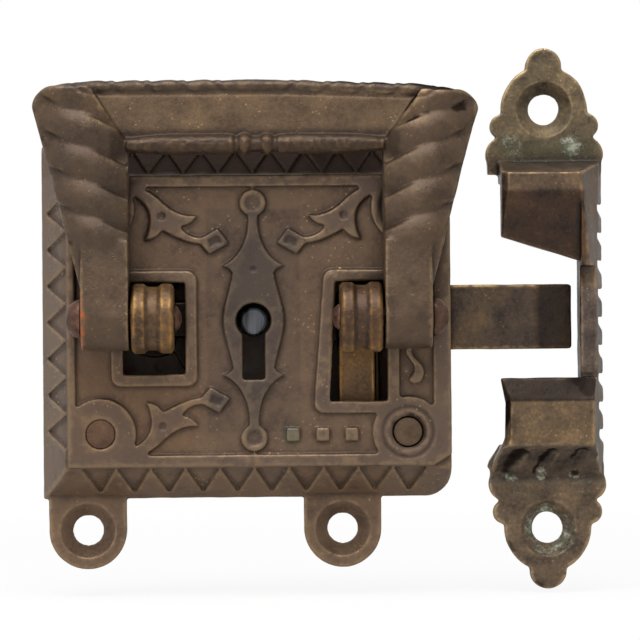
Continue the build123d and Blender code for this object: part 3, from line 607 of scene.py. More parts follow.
class Skin:
    """A dense closed mesh that is shaped as arrays of points."""

    hash_steps = np.array([374761393, 668265263, 2147483629])
    hash_mix = 1274126177
    near_rounds = 5
    wide_rounds = 28
    edge_strength = 0.6
    lowest_ray = 0.08
    ray_span = 0.9
    far_share = 0.5
    shelter_rounds = 6

    def __init__(self, node_name: str, voxel: float) -> None:
        """Copy a CAD node and give it an even skin of small faces.

        Args:
            node_name: The CAD node.
            voxel: The face size in mm.
        """
        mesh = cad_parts[node_name].data.copy()
        work = bmesh.new()
        work.from_mesh(mesh)
        bmesh.ops.remove_doubles(work, verts=work.verts, dist=1e-6)
        work.to_mesh(mesh)
        work.free()
        self.mesh = evaluated(mesh, "REMESH", mode="VOXEL", voxel_size=voxel * MM, use_smooth_shade=True)
        count = len(self.mesh.vertices)
        self.points = np.empty(count * 3)
        self.mesh.vertices.foreach_get("co", self.points)
        self.points = self.points.reshape(-1, 3)
        ends = np.empty(len(self.mesh.edges) * 2, dtype=np.int32)
        self.mesh.edges.foreach_get("vertices", ends)
        self.first, self.second = ends.reshape(-1, 2).T
        self.degree = np.bincount(ends, minlength=count).astype(float)
        self.wear = self.hollow = self.shelter = np.zeros(count)

    def averaged(self, values: np.ndarray) -> np.ndarray:
        """Give each point the mean of its neighbours' values.

        Args:
            values: One row for each point.

        Returns:
            The means, one row for each point.
        """
        total = np.empty_like(values)
        for column in range(values.shape[1]):
            part = values[:, column]
            total[:, column] = np.bincount(self.first, part[self.second], len(part))
            total[:, column] += np.bincount(self.second, part[self.first], len(part))
        return total / self.degree[:, None]

    def relaxed(self, rounds: int, strength: float = 0.5) -> np.ndarray:
        """Smooth the points, without moving them yet.

        Args:
            rounds: How often they are smoothed.
            strength: How far each round goes, from 0 to 1.

        Returns:
            The smoothed points.
        """
        points = self.points
        for _ in range(rounds):
            points = points + strength * (self.averaged(points) - points)
        return points

    def normals(self) -> np.ndarray:
        """Bring the mesh up to date and find where each point faces.

        Returns:
            The outward direction at each point.
        """
        self.mesh.vertices.foreach_set("co", self.points.ravel())
        self.mesh.update()
        directions = np.empty(len(self.points) * 3)
        self.mesh.vertex_normals.foreach_get("vector", directions)
        return directions.reshape(-1, 3)

    def push(self, amounts: np.ndarray) -> None:
        """Move each point along its outward direction, in mm."""
        self.points = self.points + self.normals() * (amounts * MM)[:, None]

    def noise(self, cell: float, seed: int) -> np.ndarray:
        """Give smooth random values between -1 and 1.

        Args:
            cell: The size of a lump in mm.
            seed: Which pattern.

        Returns:
            One value for each point.
        """
        place = self.points / (cell * MM)
        corner = np.floor(place).astype(np.int64)
        blend = place - corner
        blend = blend * blend * (3.0 - 2.0 * blend)
        total = np.zeros(len(place))
        for step in np.ndindex(2, 2, 2):
            code = (corner + np.array(step)) @ self.hash_steps + seed * self.hash_mix
            code = (code ^ (code >> 13)) * self.hash_mix
            value = ((code ^ (code >> 16)) & 0xFFFFF) / 0x7FFFF - 1.0
            share = np.where(np.array(step) == 1, blend, 1.0 - blend).prod(axis=1)
            total += value * share
        return total

    def read_edges(self, sharp: float, broad: float) -> None:
        """Measure how far each point stands out of, or lies below, its surroundings.

        Args:
            sharp: The height in mm that counts as a full narrow ridge.
            broad: The height in mm that counts as a full broad ridge.
        """
        outward = self.normals()
        near, wide = (((self.points - self.relaxed(rounds, self.edge_strength)) * outward).sum(axis=1) / MM
                      for rounds in (self.near_rounds, self.wide_rounds))
        rise = np.maximum(near / sharp, wide / broad)
        fall = np.maximum(-near / sharp, -wide / broad)
        self.wear = np.clip(rise, 0.0, 1.0)
        self.hollow = np.clip(fall, 0.0, 1.0)

    def read_shelter(self, solids: BVHTree, reach: float = 14.0, rays: int = 16, cell: float = 0.8,
                     lift: float = 0.3) -> None:
        """Measure how far each point is closed in by the pieces around it.

        Args:
            solids: Every solid of the lock.
            reach: How far a ray looks, in mm.
            rays: How many rays leave each sample.
            cell: The distance between samples, in mm.
            lift: How far above the skin a ray starts, in mm.
        """
        outward = self.normals()
        facing = np.abs(outward).argmax(axis=1)
        sign = np.sign(outward[np.arange(len(facing)), facing])
        keys = np.column_stack([np.floor(self.points / (cell * MM)), facing, sign]).astype(np.int32)
        _, samples, owner = np.unique(keys, axis=0, return_index=True, return_inverse=True)
        turn = np.arange(rays) * math.pi * (3.0 - math.sqrt(5.0))
        height = self.lowest_ray + self.ray_span * (np.arange(rays) + 0.5) / rays
        side = np.sqrt(1.0 - height * height)
        fan = np.column_stack([side * np.cos(turn), side * np.sin(turn), height])
        values = np.zeros(len(samples))
        for number, index in enumerate(samples):
            normal = Vector(outward[index])
            axes = np.array(normal.to_track_quat("Z", "Y").to_matrix())
            start = Vector(self.points[index]) + normal * (lift * MM)
            shut = 0.0
            for way, share in zip(fan @ axes.T, height):
                gap = solids.ray_cast(start, Vector(way), reach * MM)[3]
                if gap is not None:
                    shut += share * (1.0 - self.far_share * gap / (reach * MM))
            values[number] = shut / height.sum()
        spread = values[owner.ravel()][:, None]
        for _ in range(self.shelter_rounds):
            spread = self.averaged(spread)
        self.shelter = np.clip(spread[:, 0], 0.0, 1.0)

    def finish(self, name: str, triangles: int) -> bpy.types.Object:
        """Thin the mesh and carry the edge values over.

        Args:
            name: The piece's name.
            triangles: The most triangles that it keeps.

        Returns:
            The finished object, at the origin.
        """
        self.normals()
        tree = KDTree(len(self.points))
        for index, point in enumerate(self.points):
            tree.insert(point, index)
        tree.balance()
        faces = sum(len(polygon.vertices) - 2 for polygon in self.mesh.polygons)
        mesh = self.mesh
        if faces > triangles:
            mesh = evaluated(mesh, "DECIMATE", ratio=triangles / faces)
        found = np.array([tree.find(vertex.co)[1] for vertex in mesh.vertices])
        for label, values in (("wear", self.wear), ("hollow", self.hollow), ("shelter", self.shelter)):
            attribute = mesh.attributes.new(label, "FLOAT", "POINT")
            attribute.data.foreach_set("value", values[found].astype(np.float32))
        mesh.shade_smooth()
        mesh.name = name
        return add_object(name, mesh)


@cache
def solid_tree() -> BVHTree:
    """Gather every solid of the lock.

    Returns:
        One tree for rays.
    """
    corners = []
    faces = []
    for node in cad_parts.values():
        shift = len(corners)
        corners.extend(vertex.co.copy() for vertex in node.data.vertices)
        faces.extend([index + shift for index in polygon.vertices] for polygon in node.data.polygons)
    return BVHTree.FromPolygons(corners, faces)


@dataclass
class Casting:
    """One casting or forging, made from its CAD node."""

    node: str
    piece_name: str
    body: Body
    slot: str
    finish: BronzeFinish | SteelFinish
    voxel: float = 0.3
    rounds: int = 4
    triangles: int = 150000
    lump: float = 0.05
    grit: float = 0.02
    sharp: float = 0.07
    broad: float = 0.22
    seed: int = 1
    lump_size: float = 3.2
    grit_size: float = 0.9
    grit_seed: int = 7
    piece: bpy.types.Object | None = field(default=None, init=False)

    def build(self) -> bpy.types.Object:
        """Shape the piece and dress it.

        Returns:
            The finished piece.
        """
        skin = Skin(self.node, self.voxel)
        skin.points = skin.relaxed(self.rounds)
        self.detail(skin)
        lumps = self.lump * skin.noise(self.lump_size, self.seed)
        skin.push(lumps + self.grit * skin.noise(self.grit_size, self.seed + self.grit_seed))
        skin.read_edges(self.sharp, self.broad)
        # The occlusion measured here is painted into the colour as shade by the finish.
        skin.read_shelter(solid_tree())
        skin.points = held_inside(skin.points, self.node)
        self.piece = skin.finish(self.piece_name, self.triangles)
        self.dress()
        return self.piece

    def detail(self, skin: Skin) -> None:
        """Add the form that is too fine for the solid; a plain piece has none."""

    def dress(self) -> None:
        """Give the piece its material and its body, and hide its CAD node."""
        self.piece.data.materials.clear()
        self.piece.data.materials.append(self.finish.build())
        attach(self.piece, self.body.value)
        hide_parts(self.node)
        LOG.info("%s: %d faces", self.piece_name, len(self.piece.data.polygons))


@dataclass
class CaseCasting(Casting):
    """The case, with a turned collar round each right-hand rivet."""

    collars: tuple[Pair, ...] = ((30.6, -22.4), (30.6, 22.4))
    inner_groove: float = 3.3
    outer_groove: float = 5.0
    groove_depth: float = 0.3
    groove_half: float = 0.55
    face_depth: float = 12.5

    def detail(self, skin: Skin) -> None:
        """Cut two round grooves that leave a collar between them.

        Args:
            skin: The skin that is shaped.
        """
        front = skin.points[:, 1] < -self.face_depth * MM
        amounts = np.zeros(len(skin.points))
        for x, z in self.collars:
            radius = np.hypot(skin.points[:, 0] / MM - x, skin.points[:, 2] / MM - z)
            for middle in (self.inner_groove, self.outer_groove):
                amounts -= np.exp(-((radius - middle) / self.groove_half) ** 2)
        skin.push(np.where(front, amounts * self.groove_depth, 0.0))


def eased(values: np.ndarray, low: float, high: float) -> np.ndarray:
    """Give a smooth step from 0 at low to 1 at high."""
    share = np.clip((values - low) / (high - low), 0.0, 1.0)
    return share * share * (3.0 - 2.0 * share)


@dataclass
class HandleCasting(Casting):
    """The handle: soft strands on its arms, a grooved top band, a top edge that drops to the right."""

    middle_x: float = 0.7
    drop: float = 1.3
    drop_run: Pair = (5.0, 40.0)
    drop_rise: Pair = (34.0, 46.0)
    arm_start: Pair = (22.5, 27.0)
    rope_foot: Pair = (9.0, 14.0)
    rope_head: Pair = (43.8, 45.2)
    corner: Pair = (34.0, 38.0)
    soft_rounds: int = 16
    band_foot: float = 45.0
    band_head: float = 46.0
    band_start: Pair = (5.0, 6.0)
    band_end: float = 40.0
    band_pitch: float = 7.0
    band_slant: float = 0.9
    band_groove: float = 0.17
    groove_half: float = 0.75
    ledge_groove: float = 0.14
    ledge_half: float = 0.35
    ledge_front: float = 18.0
    rod_z: float = 34.6
    rod_half: float = 25.0
    rod_radius: float = 1.8
    rod_front: float = 19.0
    rod_grit: float = 0.1
    rod_grit_size: float = 0.7
    rod_sink: float = 0.4
    rod_seed: int = 31

    def detail(self, skin: Skin) -> None:
        """Soften the strands, groove the band, pit the rod and lower the right end.

        Args:
            skin: The skin that is shaped.
        """
        x, y, z = skin.points.T / MM
        across = np.abs(x - self.middle_x)
        share = eased(across, *self.arm_start) * eased(z, *self.rope_foot)
        share *= 1.0 - eased(z, *self.rope_head) * (1.0 - eased(across, *self.corner))
        soft = skin.relaxed(self.soft_rounds)
        skin.points = skin.points + share[:, None] * (soft - skin.points)
        lean = across - self.band_slant * (z - self.band_head)
        turn = np.abs((lean / self.band_pitch + 0.5) % 1.0 - 0.5) * self.band_pitch
        band = eased(z, self.band_foot - 0.4, self.band_foot + 0.2) * eased(across, *self.band_start)
        band *= across < self.band_end
        amounts = -self.band_groove * np.exp(-(turn / self.groove_half) ** 2) * band
        ledge = np.exp(-((z - self.band_foot + 0.3) / self.ledge_half) ** 2)
        ledge *= (across < self.corner[0]) * (y < -self.ledge_front)
        amounts = amounts - self.ledge_groove * ledge
        rod = np.exp(-((z - self.rod_z) / self.rod_radius) ** 2)
        rod *= (across < self.rod_half) * (y < -self.rod_front)
        grit = skin.noise(self.rod_grit_size, self.rod_seed) - self.rod_sink
        skin.push(amounts + self.rod_grit * rod * grit)
        x, _, z = skin.points.T / MM
        start, end = self.drop_run
        fall = np.clip((x - start) / (end - start), 0.0, 1.0)
        skin.points[:, 2] -= self.drop * MM * fall * eased(z, *self.drop_rise)


@dataclass
class KeeperCasting(Casting):
    """The keeper, with gadroons on its flared foot and one slope along its lower lip."""

    left_x: float = 49.8
    right_x: Pair = (67.4, 68.6)
    slope_top: Pair = (-25.4, 12.0)
    slope_foot: Pair = (-33.2, 1.5)
    lobe_start: float = 52.4
    lobe_pitch: float = 6.2
    lobe_lean: float = 0.27
    lobe_flank: float = 0.2
    lobe_depth: float = 0.7
    lobe_head: Pair = (0.6, 2.4)
    lobe_foot: Pair = (10.4, 11.6)
    press_head: Pair = (0.4, 1.2)
    press_foot: Pair = (11.0, 11.8)
    press_depth: Pair = (-1.4, 0.4)
    lip: Pair = (-16.2, -11.8)
    lip_falls: Pair = (1.6, 3.0)
    lip_turn: Pair = (61.5, 67.5)
    tab_face: float = 3.0
    tab_start: Pair = (33.0, 37.0)
    tab_flare: Pair = (-24.4, -29.2)
    tab_sweep: float = 5.8
    side_levels: tuple[float, ...] = (-33.0, -30.5, -28.0, -26.0, -24.0, -17.0, -12.0)
    side_shifts: tuple[float, ...] = (-2.2, -2.2, -1.5, -0.6, 0.2, 0.4, -0.6)
    side_reach: float = 4.0
    soft_rounds: int = 5
    dent: float = 0.16
    dent_size: float = 4.5
    dent_seed: int = 41
    shrink: float = 0.06

    def detail(self, skin: Skin) -> None:
        """Lay the lip, press the gadroons, spread the foot and dent the tabs a little.

        Args:
            skin: The skin that is shaped.
        """
        place = skin.points / MM
        self.lay_lip(place)
        self.press_lobes(place)
        self.spread_foot(place)
        skin.points = place * MM
        lower = place[:, 2] < self.lip[1] + 1.0
        skin.points[lower] = skin.relaxed(self.soft_rounds)[lower]
        tabs = eased(np.abs(place[:, 2]), *self.tab_start)
        skin.push(self.dent * tabs * skin.noise(self.dent_size, self.dent_seed) - self.shrink)

    def lay_lip(self, place: np.ndarray) -> None:
        """Carry the slope of the lower lip on to the rib at the right.

        Args:
            place: The points in mm, which are moved.
        """
        x, y, z = place.T
        low, high = self.lip
        left_fall, right_fall = self.lip_falls
        fall = left_fall + (right_fall - left_fall) * eased(x, *self.lip_turn)
        climb = np.clip((z - low) / (high - low), 0.0, 1.0)
        inside = (z > low) & (z < high + 0.3)
        front = fall * climb - self.slope_top[1]
        y[inside] = np.maximum(y[inside], front[inside])

    def press_lobes(self, place: np.ndarray) -> None:
        """Turn the flutes on the lower slope into gadroons with a steep left flank.

        Args:
            place: The points in mm, which are moved.
        """
        x, y, z = place.T
        top_z, top_depth = self.slope_top
        run = top_z - self.slope_foot[0]
        rise = top_depth - self.slope_foot[1]
        length = math.hypot(run, rise)
        back = y + top_depth
        down = top_z - z
        height = (down * rise - back * run) / length
        along = (back * rise + down * run) / length
        across = x - self.lobe_start + (along - length / 2) * self.lobe_lean
        turn = np.mod(across / self.lobe_pitch, 1.0)
        falling = (turn - self.lobe_flank) / (1.0 - self.lobe_flank)
        lobe = np.where(turn < self.lobe_flank, turn / self.lobe_flank, 1.0 - falling ** 2)
        fade = eased(along, *self.lobe_head) * (1.0 - eased(along, *self.lobe_foot))
        fade *= eased(x, self.left_x + 0.3, self.left_x + 1.5) * (1.0 - eased(x, *self.right_x))
        deepest, highest = self.press_depth
        near = (height > deepest) & (height < highest) & (x > self.left_x + 0.2) & (x < self.right_x[1] + 0.4)
        share = near * eased(along, *self.press_head) * (1.0 - eased(along, *self.press_foot))
        move = (-self.lobe_depth * (1.0 - lobe) * fade - height) * share
        y -= move * run / length
        z -= move * rise / length

    def spread_foot(self, place: np.ndarray) -> None:
        """Sweep the left side of the lower hood out to its foot.

        Args:
            place: The points in mm, which are moved.
        """
        x, y, z = place.T
        shift = np.interp(z, self.side_levels, self.side_shifts)
        share = 1.0 - eased(x, self.left_x, self.left_x + self.side_reach)
        share *= eased(-y, self.tab_face, self.tab_face + 1.6) * (z < self.lip[1] + 0.8)
        x += shift * share
        start, corner = self.tab_flare
        drop = start - z
        ratio = eased(drop, 0.0, self.tab_sweep) / np.clip(drop / (start - corner), 0.02, 1.0)
        edge = (x < self.left_x) & (y > -self.tab_face - 0.4) & (drop > 0.0) & (drop < self.tab_sweep)
        x[edge] = self.left_x - (self.left_x - x[edge]) * ratio[edge]


@dataclass
class TurnedSteel(Casting):
    """A round steel piece with tool rings on its end."""

    ring_pitch: float = 0.5
    ring_depth: float = 0.02

    def detail(self, skin: Skin) -> None:
        """Cut fine rings round the key axis."""
        radius = np.hypot(skin.points[:, 0], skin.points[:, 2]) / MM
        skin.push(self.ring_depth * np.sin(radius * math.tau / self.ring_pitch))


def close_tree(wiring: Wiring, instances: Socket, material: Material) -> bpy.types.NodeTree:
    """Make instances real, dress them and send them to the tree's output.

    Args:
        wiring: The tree's wiring.
        instances: What was placed.
        material: What the instances are made of.

    Returns:
        The finished tree.
    """
    real = wiring.add("GeometryNodeRealizeInstances", {"Geometry": instances})
    dressed = wiring.add("GeometryNodeSetMaterial", {
        "Geometry": real.outputs["Geometry"], "Material": material})
    wiring.add("NodeGroupOutput", {"Geometry": dressed.outputs["Geometry"]})
    return wiring.tree


def grown_piece(mesh: bpy.types.Mesh, tree: bpy.types.NodeTree, sizes: dict[str, object], name: str,
                node: str) -> bpy.types.Object:
    """Run a geometry tree over a mesh and hold the result inside a CAD node's box.

    Args:
        mesh: What the tree starts from.
        tree: The geometry tree.
        sizes: The tree's inputs by name.
        name: The piece's name.
        node: The CAD node.

    Returns:
        The finished object, at the origin.
    """
    result = evaluated(mesh, "NODES", sizes, node_group=tree)
    points = np.empty(len(result.vertices) * 3)
    result.vertices.foreach_get("co", points)
    result.vertices.foreach_set("co", held_inside(points.reshape(-1, 3), node).ravel())
    result.name = name
    return add_object(name, result)


@dataclass
class RivetSet:
    """The case rivets, placed by one node tree."""

    finish: BronzeFinish
    radius: float = 2.88
    length: float = 13.62
    crown: float = 0.16
    crown_width: float = 0.97
    sides: int = 56
    rings: int = 20
    side_steps: int = 12
    end_steps: int = 8
    spots: tuple[Point, ...] = (
        (-30.6, -22.4, 0.0), (-30.6, 22.4, 0.0), (30.6, -22.4, 0.45), (30.6, 22.4, 0.45))

    def tree(self, material: Material) -> bpy.types.NodeTree:
        """Build the tree that sets one rivet on every point.

        Args:
            material: What the rivets are made of.

        Returns:
            The node tree.
        """
        wiring, entry = open_tree("case_rivet_tree", "GeometryNodeTree",
                                  "Geometry:Geometry Radius:Float Length:Float Crown:Float",
                                  "Geometry:Geometry")
        shank = wiring.add("GeometryNodeMeshCylinder", {
            "Vertices": self.sides, "Side Segments": self.side_steps, "Fill Segments": self.end_steps,
            "Radius": entry["Radius"], "Depth": entry["Length"]}, fill_type="TRIANGLE_FAN")
        ball = wiring.add("GeometryNodeMeshUVSphere", {
            "Segments": self.sides, "Rings": self.rings, "Radius": entry["Radius"]})
        flat = wiring.add("ShaderNodeCombineXYZ", {
            "X": self.crown_width, "Y": self.crown_width,
            "Z": wiring.math("DIVIDE", entry["Crown"], entry["Radius"])})
        lift = wiring.add("ShaderNodeCombineXYZ", {"Z": wiring.times(entry["Length"], 0.5)})
        head = wiring.add("GeometryNodeTransform", {
            "Geometry": ball.outputs["Mesh"], "Scale": flat.outputs["Vector"],
            "Translation": lift.outputs["Vector"]})
        both = wiring.add("GeometryNodeJoinGeometry")
        wiring.tree.links.new(shank.outputs["Mesh"], both.inputs["Geometry"])
        wiring.tree.links.new(head.outputs["Geometry"], both.inputs["Geometry"])
        smooth = wiring.add("GeometryNodeSetShadeSmooth", {
            "Geometry": both.outputs["Geometry"], "Shade Smooth": True})
        placed = wiring.add("GeometryNodeInstanceOnPoints", {
            "Points": entry["Geometry"], "Instance": smooth.outputs["Geometry"],
            "Rotation": (math.radians(90.0), 0.0, 0.0)})
        return close_tree(wiring, placed.outputs["Instances"], material)

    def build(self) -> bpy.types.Object:
        """Set the rivets.

        Returns:
            The finished piece.
        """
        depth = -(self.length / 2) * MM
        mesh = bpy.data.meshes.new("case_rivet_points")
        mesh.from_pydata([(x * MM, depth + sink * MM, z * MM) for x, z, sink in self.spots], [], [])
        sizes = {"Radius": self.radius * MM, "Length": self.length * MM, "Crown": self.crown * MM}
        tree = self.tree(self.finish.build())
        piece = grown_piece(mesh, tree, sizes, "case_rivet_set", "case_rivets")
        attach(piece, Body.LOCK.value)
        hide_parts("case_rivets")
        LOG.info("case_rivet_set: %d faces", len(piece.data.polygons))
        return piece


@dataclass
class KeeperBloom:
    """Crumbs of verdigris that sit in the hollows of the keeper."""

    density: float = 900000.0
    size: float = 0.16
    seed: int = 11
    smallest: Point = (0.4, 0.4, 0.15)
    largest: Point = (1.0, 1.0, 0.4)
    patch_scale: float = 170.0
    patch_span: Pair = (0.55, 0.68)
    hollow_span: Pair = (0.45, 0.9)

    def tree(self, material: Material) -> bpy.types.NodeTree:
        """Build the tree that scatters crumbs where the surface is hollow.

        Args:
            material: What the crumbs are made of.

        Returns:
            The node tree.
        """
        wiring, entry = open_tree("keeper_bloom_tree", "GeometryNodeTree",
                                  "Geometry:Geometry Density:Float Size:Float Seed:Int", "Geometry:Geometry")
        hollow = wiring.add("GeometryNodeInputNamedAttribute", {"Name": "hollow"}, data_type="FLOAT")
        place = wiring.add("GeometryNodeInputPosition").outputs["Position"]
        patch = wiring.ramp(wiring.noise(place, self.patch_scale, 4.0, 0.6), *self.patch_span)
        deep = wiring.ramp(hollow.outputs["Attribute"], *self.hollow_span)
        share = wiring.times(wiring.times(deep, patch), entry["Density"])
        spread = wiring.add("GeometryNodeDistributePointsOnFaces", {
            "Mesh": entry["Geometry"], "Density": share, "Seed": entry["Seed"]}, distribute_method="RANDOM")
        crumb = wiring.add("GeometryNodeMeshIcoSphere", {"Radius": entry["Size"], "Subdivisions": 1})
        vary = wiring.add("FunctionNodeRandomValue", {
            "Min": self.smallest, "Max": self.largest, "Seed": entry["Seed"]}, data_type="FLOAT_VECTOR")
        placed = wiring.add("GeometryNodeInstanceOnPoints", {
            "Points": spread.outputs["Points"], "Instance": crumb.outputs["Mesh"],
            "Rotation": spread.outputs["Rotation"], "Scale": vary.outputs["Value"]})
        return close_tree(wiring, placed.outputs["Instances"], material)

    def build(self, keeper: bpy.types.Object) -> bpy.types.Object:
        """Scatter the crumbs.

        Args:
            keeper: The finished keeper.

        Returns:
            The finished piece.
        """
        powder = BronzeFinish(
            "verdigris_crumb", dark=Tone(90, 96, 80), middle=Tone(124, 132, 114), light=Tone(156, 164, 146),
            bare=Tone(164, 172, 156), grime_and_shade=Tone(70, 76, 64), metallic=0.0, rough_low=0.8, rough_high=0.95,
            cover=0.2, glint=0.0, rub=0.0, grime_and_shade_share=0.0)
        sizes = {"Density": self.density, "Size": self.size * MM, "Seed": self.seed}
        tree = self.tree(powder.build())
        piece = grown_piece(keeper.data.copy(), tree, sizes, "keeper_verdigris", "keeper")
        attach(piece, Body.LOCK.value)
        LOG.info("keeper_verdigris: %d faces", len(piece.data.polygons))
        return piece


@dataclass
class Works:
    """The steel works inside the case, kept as their CAD solids."""

    nodes: tuple[str, ...] = ("pivot_stud", "pivot_washer", "lock_dog", "dog_guide_screws", "dog_spring",
                              "dog_spring_screw")

    def build(self) -> None:
        """Dress the hidden works and the back plate."""
        steel = SteelFinish("works_steel", cover=0.42).build()
        for name in self.nodes:
            self.paint(name, steel, "works_steel")
        plate = SteelFinish("back_plate_iron", dark=Tone(52, 46, 42), light=Tone(86, 78, 70), cover=0.5,
                            streak=(150.0, 300.0, 170.0), metallic=0.6, rough_low=0.45, rough_high=0.65)
        self.paint("back_plate", plate.build(), "works_steel")

    @staticmethod
    def paint(name: str, material: Material, slot: str) -> None:
        """Give one CAD node a material.

        Args:
            name: The CAD node.
            material: What it is made of.
            slot: Not used.
        """
        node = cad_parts[name]
        node.data.materials.clear()
        node.data.materials.append(material)
        LOG.info("%s: dressed", name)


@dataclass
class Studio:
    """The floor, the soft light and the camera."""

    distance: float = 700.0
    azimuth: float = -1.09
    elevation: float = -0.70
    roll: float = -0.50
    target: Point = (13.23, -14.0, -0.04)
    focal_share: float = 5.027
    image_side: int = 640
    sensor: float = 36.0
    clip: Pair = (0.01, 20.0)
    floor_z: float = -55.4
    ambient: float = 0.34
    key_place: Point = (-60.0, -330.0, 520.0)
    key_side: float = 520.0
    key_power: float = 4.5
    fill_place: Point = (-520.0, -420.0, 60.0)
    fill_side: float = 420.0
    fill_power: float = 0.5
    floor_reach: float = 2400.0
    floor_tone: tuple[float, ...] = (0.92, 0.92, 0.91, 1.0)
    floor_fade: Pair = (0.1, 0.45)
    floor_glow: Pair = (0.9, 1.0)

    def build(self) -> None:
        """Set up the whole studio."""
        bpy.context.scene.view_settings.view_transform = "Standard"
        self.place_camera()
        self.light_world()
        self.hang_lights()
        self.lay_floor()

    def place_camera(self) -> None:
        """Stand the camera where the photograph was taken from."""
        turn = math.radians(self.azimuth)
        rise = math.radians(self.elevation)
        lean = math.radians(self.roll)
        back = Vector((math.sin(turn) * math.cos(rise), -math.cos(turn) * math.cos(rise), math.sin(rise)))
        right = Vector((0.0, 0.0, 1.0)).cross(back).normalized()
        upward = back.cross(right)
        side = right * math.cos(lean) + upward * math.sin(lean)
        top = upward * math.cos(lean) - right * math.sin(lean)
        data = bpy.data.cameras.new("front_camera")
        data.sensor_width = self.sensor
        data.lens = self.focal_share * self.distance * data.sensor_width / self.image_side
        data.clip_start, data.clip_end = self.clip
        camera = add_object("front_camera", data)
        turned = Matrix((side, top, back)).transposed().to_4x4()
        camera.matrix_world = Matrix.Translation((Vector(self.target) + back * self.distance) * MM) @ turned
        bpy.context.scene.camera = camera

    def light_world(self) -> None:
        """Light from all round, with a white surround for the camera and for reflections."""
        world = bpy.data.worlds.new("studio_world")
        world.use_nodes = True
        world.node_tree.nodes.clear()
        wiring = Wiring(world.node_tree)
        path = wiring.add("ShaderNodeLightPath").outputs
        seen = wiring.math("MAXIMUM", path["Is Camera Ray"], path["Is Glossy Ray"])
        seen = wiring.math("MAXIMUM", seen, path["Is Transmission Ray"])
        soft = wiring.add("ShaderNodeBackground", {"Color": WHITE, "Strength": self.ambient})
        white = wiring.add("ShaderNodeBackground", {"Color": WHITE, "Strength": 1.0})
        both = wiring.add("ShaderNodeMixShader", {0: seen, 1: soft.outputs[0], 2: white.outputs[0]})
        wiring.add("ShaderNodeOutputWorld", {"Surface": both.outputs[0]})
        bpy.context.scene.world = world

    def hang_lights(self) -> None:
        """Hang one broad light above the front and a weak one at the side."""
        self.soft_box("key_light", self.key_place, self.key_side, self.key_power)
        self.soft_box("fill_light", self.fill_place, self.fill_side, self.fill_power)

    def soft_box(self, name: str, place: Point, side: float, power: float) -> None:
        """Hang one square light that faces the lock.

        Args:
            name: The light's name.
            place: Where it hangs, in mm.
            side: Its side in mm.
            power: Its power in watts.
        """
        data = bpy.data.lights.new(name, "AREA")
        data.shape = "SQUARE"
        data.size = side * MM
        data.energy = power
        light = add_object(name, data)
        start = Vector(place) * MM
        aim = Vector(self.target) * MM
        turned = (start - aim).to_track_quat("Z", "Y").to_matrix().to_4x4()
        light.matrix_world = Matrix.Translation(start) @ turned

    def lay_floor(self) -> None:
        """Lay a pale floor that keeps a soft shadow."""
        mesh = bpy.data.meshes.new("pale_floor")
        reach = self.floor_reach * MM
        height = self.floor_z * MM
        mesh.from_pydata([(-reach, -reach, height), (reach, -reach, height), (reach, reach, height),
                          (-reach, reach, height)], [], [(0, 1, 2, 3)])
        material, wiring = new_material("pale_floor")
        path = wiring.add("ShaderNodeLightPath").outputs
        matt = wiring.add("ShaderNodeBsdfDiffuse", {"Color": self.floor_tone})
        glow = wiring.add("ShaderNodeEmission", {"Color": WHITE, "Strength": 1.0})
        gap = wiring.vector("LENGTH", wiring.add("ShaderNodeTexCoord").outputs["Object"])
        fade = wiring.ramp(gap, *self.floor_fade, *self.floor_glow)
        share = wiring.times(path["Is Camera Ray"], fade)
        both = wiring.add("ShaderNodeMixShader", {0: share, 1: matt.outputs[0], 2: glow.outputs[0]})
        wiring.add("ShaderNodeOutputMaterial", {"Surface": both.outputs[0]})
        mesh.materials.append(material)
        floor = add_object("pale_floor", mesh)


def case_finish() -> BronzeFinish:
    """Give the case its bronze, with the places that have worn or dulled, and a painted shadow under the
    handle.

    Returns:
        The finish.
    """
    zones = (
        Zone((-9.0, -15.0, -22.0), (9.0, -13.2, 22.0), (0.60, 0.64, 0.72)),
        Zone((-44.0, -15.0, -36.0), (-38.2, 0.0, 29.0), (1.22, 1.32, 1.44)),
        Zone((-38.0, -15.0, -37.0), (40.0, 0.0, -30.2), (1.16, 1.16, 1.14)),
        # Painted shadow: the top bevel under the handle is darkened and given painted shade where the handle
        # shades it.
        Zone((-36.0, -13.9, 29.0), (36.0, -3.5, 36.0), (0.3, 0.28, 0.26), soft=1.0, ragged=1.4, shade=0.72),
        Zone((-42.0, -8.0, -52.0), (26.0, 1.0, -36.5), (1.22, 1.24, 1.24)),
        Zone((5.6, -15.0, -25.0), (8.8, -13.0, -21.0), (0.85, 1.05, 1.12), soft=0.4, ragged=0.4),
        Zone((-35.0, -13.6, -26.0), (-12.0, -12.0, -9.0), (1.08, 0.98, 0.86), soft=3.0, ragged=4.0),
    )
    return BronzeFinish("case_bronze", dark=Tone(82, 64, 51), middle=Tone(97, 77, 61),
                        light=Tone(107, 86, 66), raised=Tone(88, 74, 66), patina_scale=170.0, grime_and_shade_share=0.48,
                        glint=0.9, zones=zones)


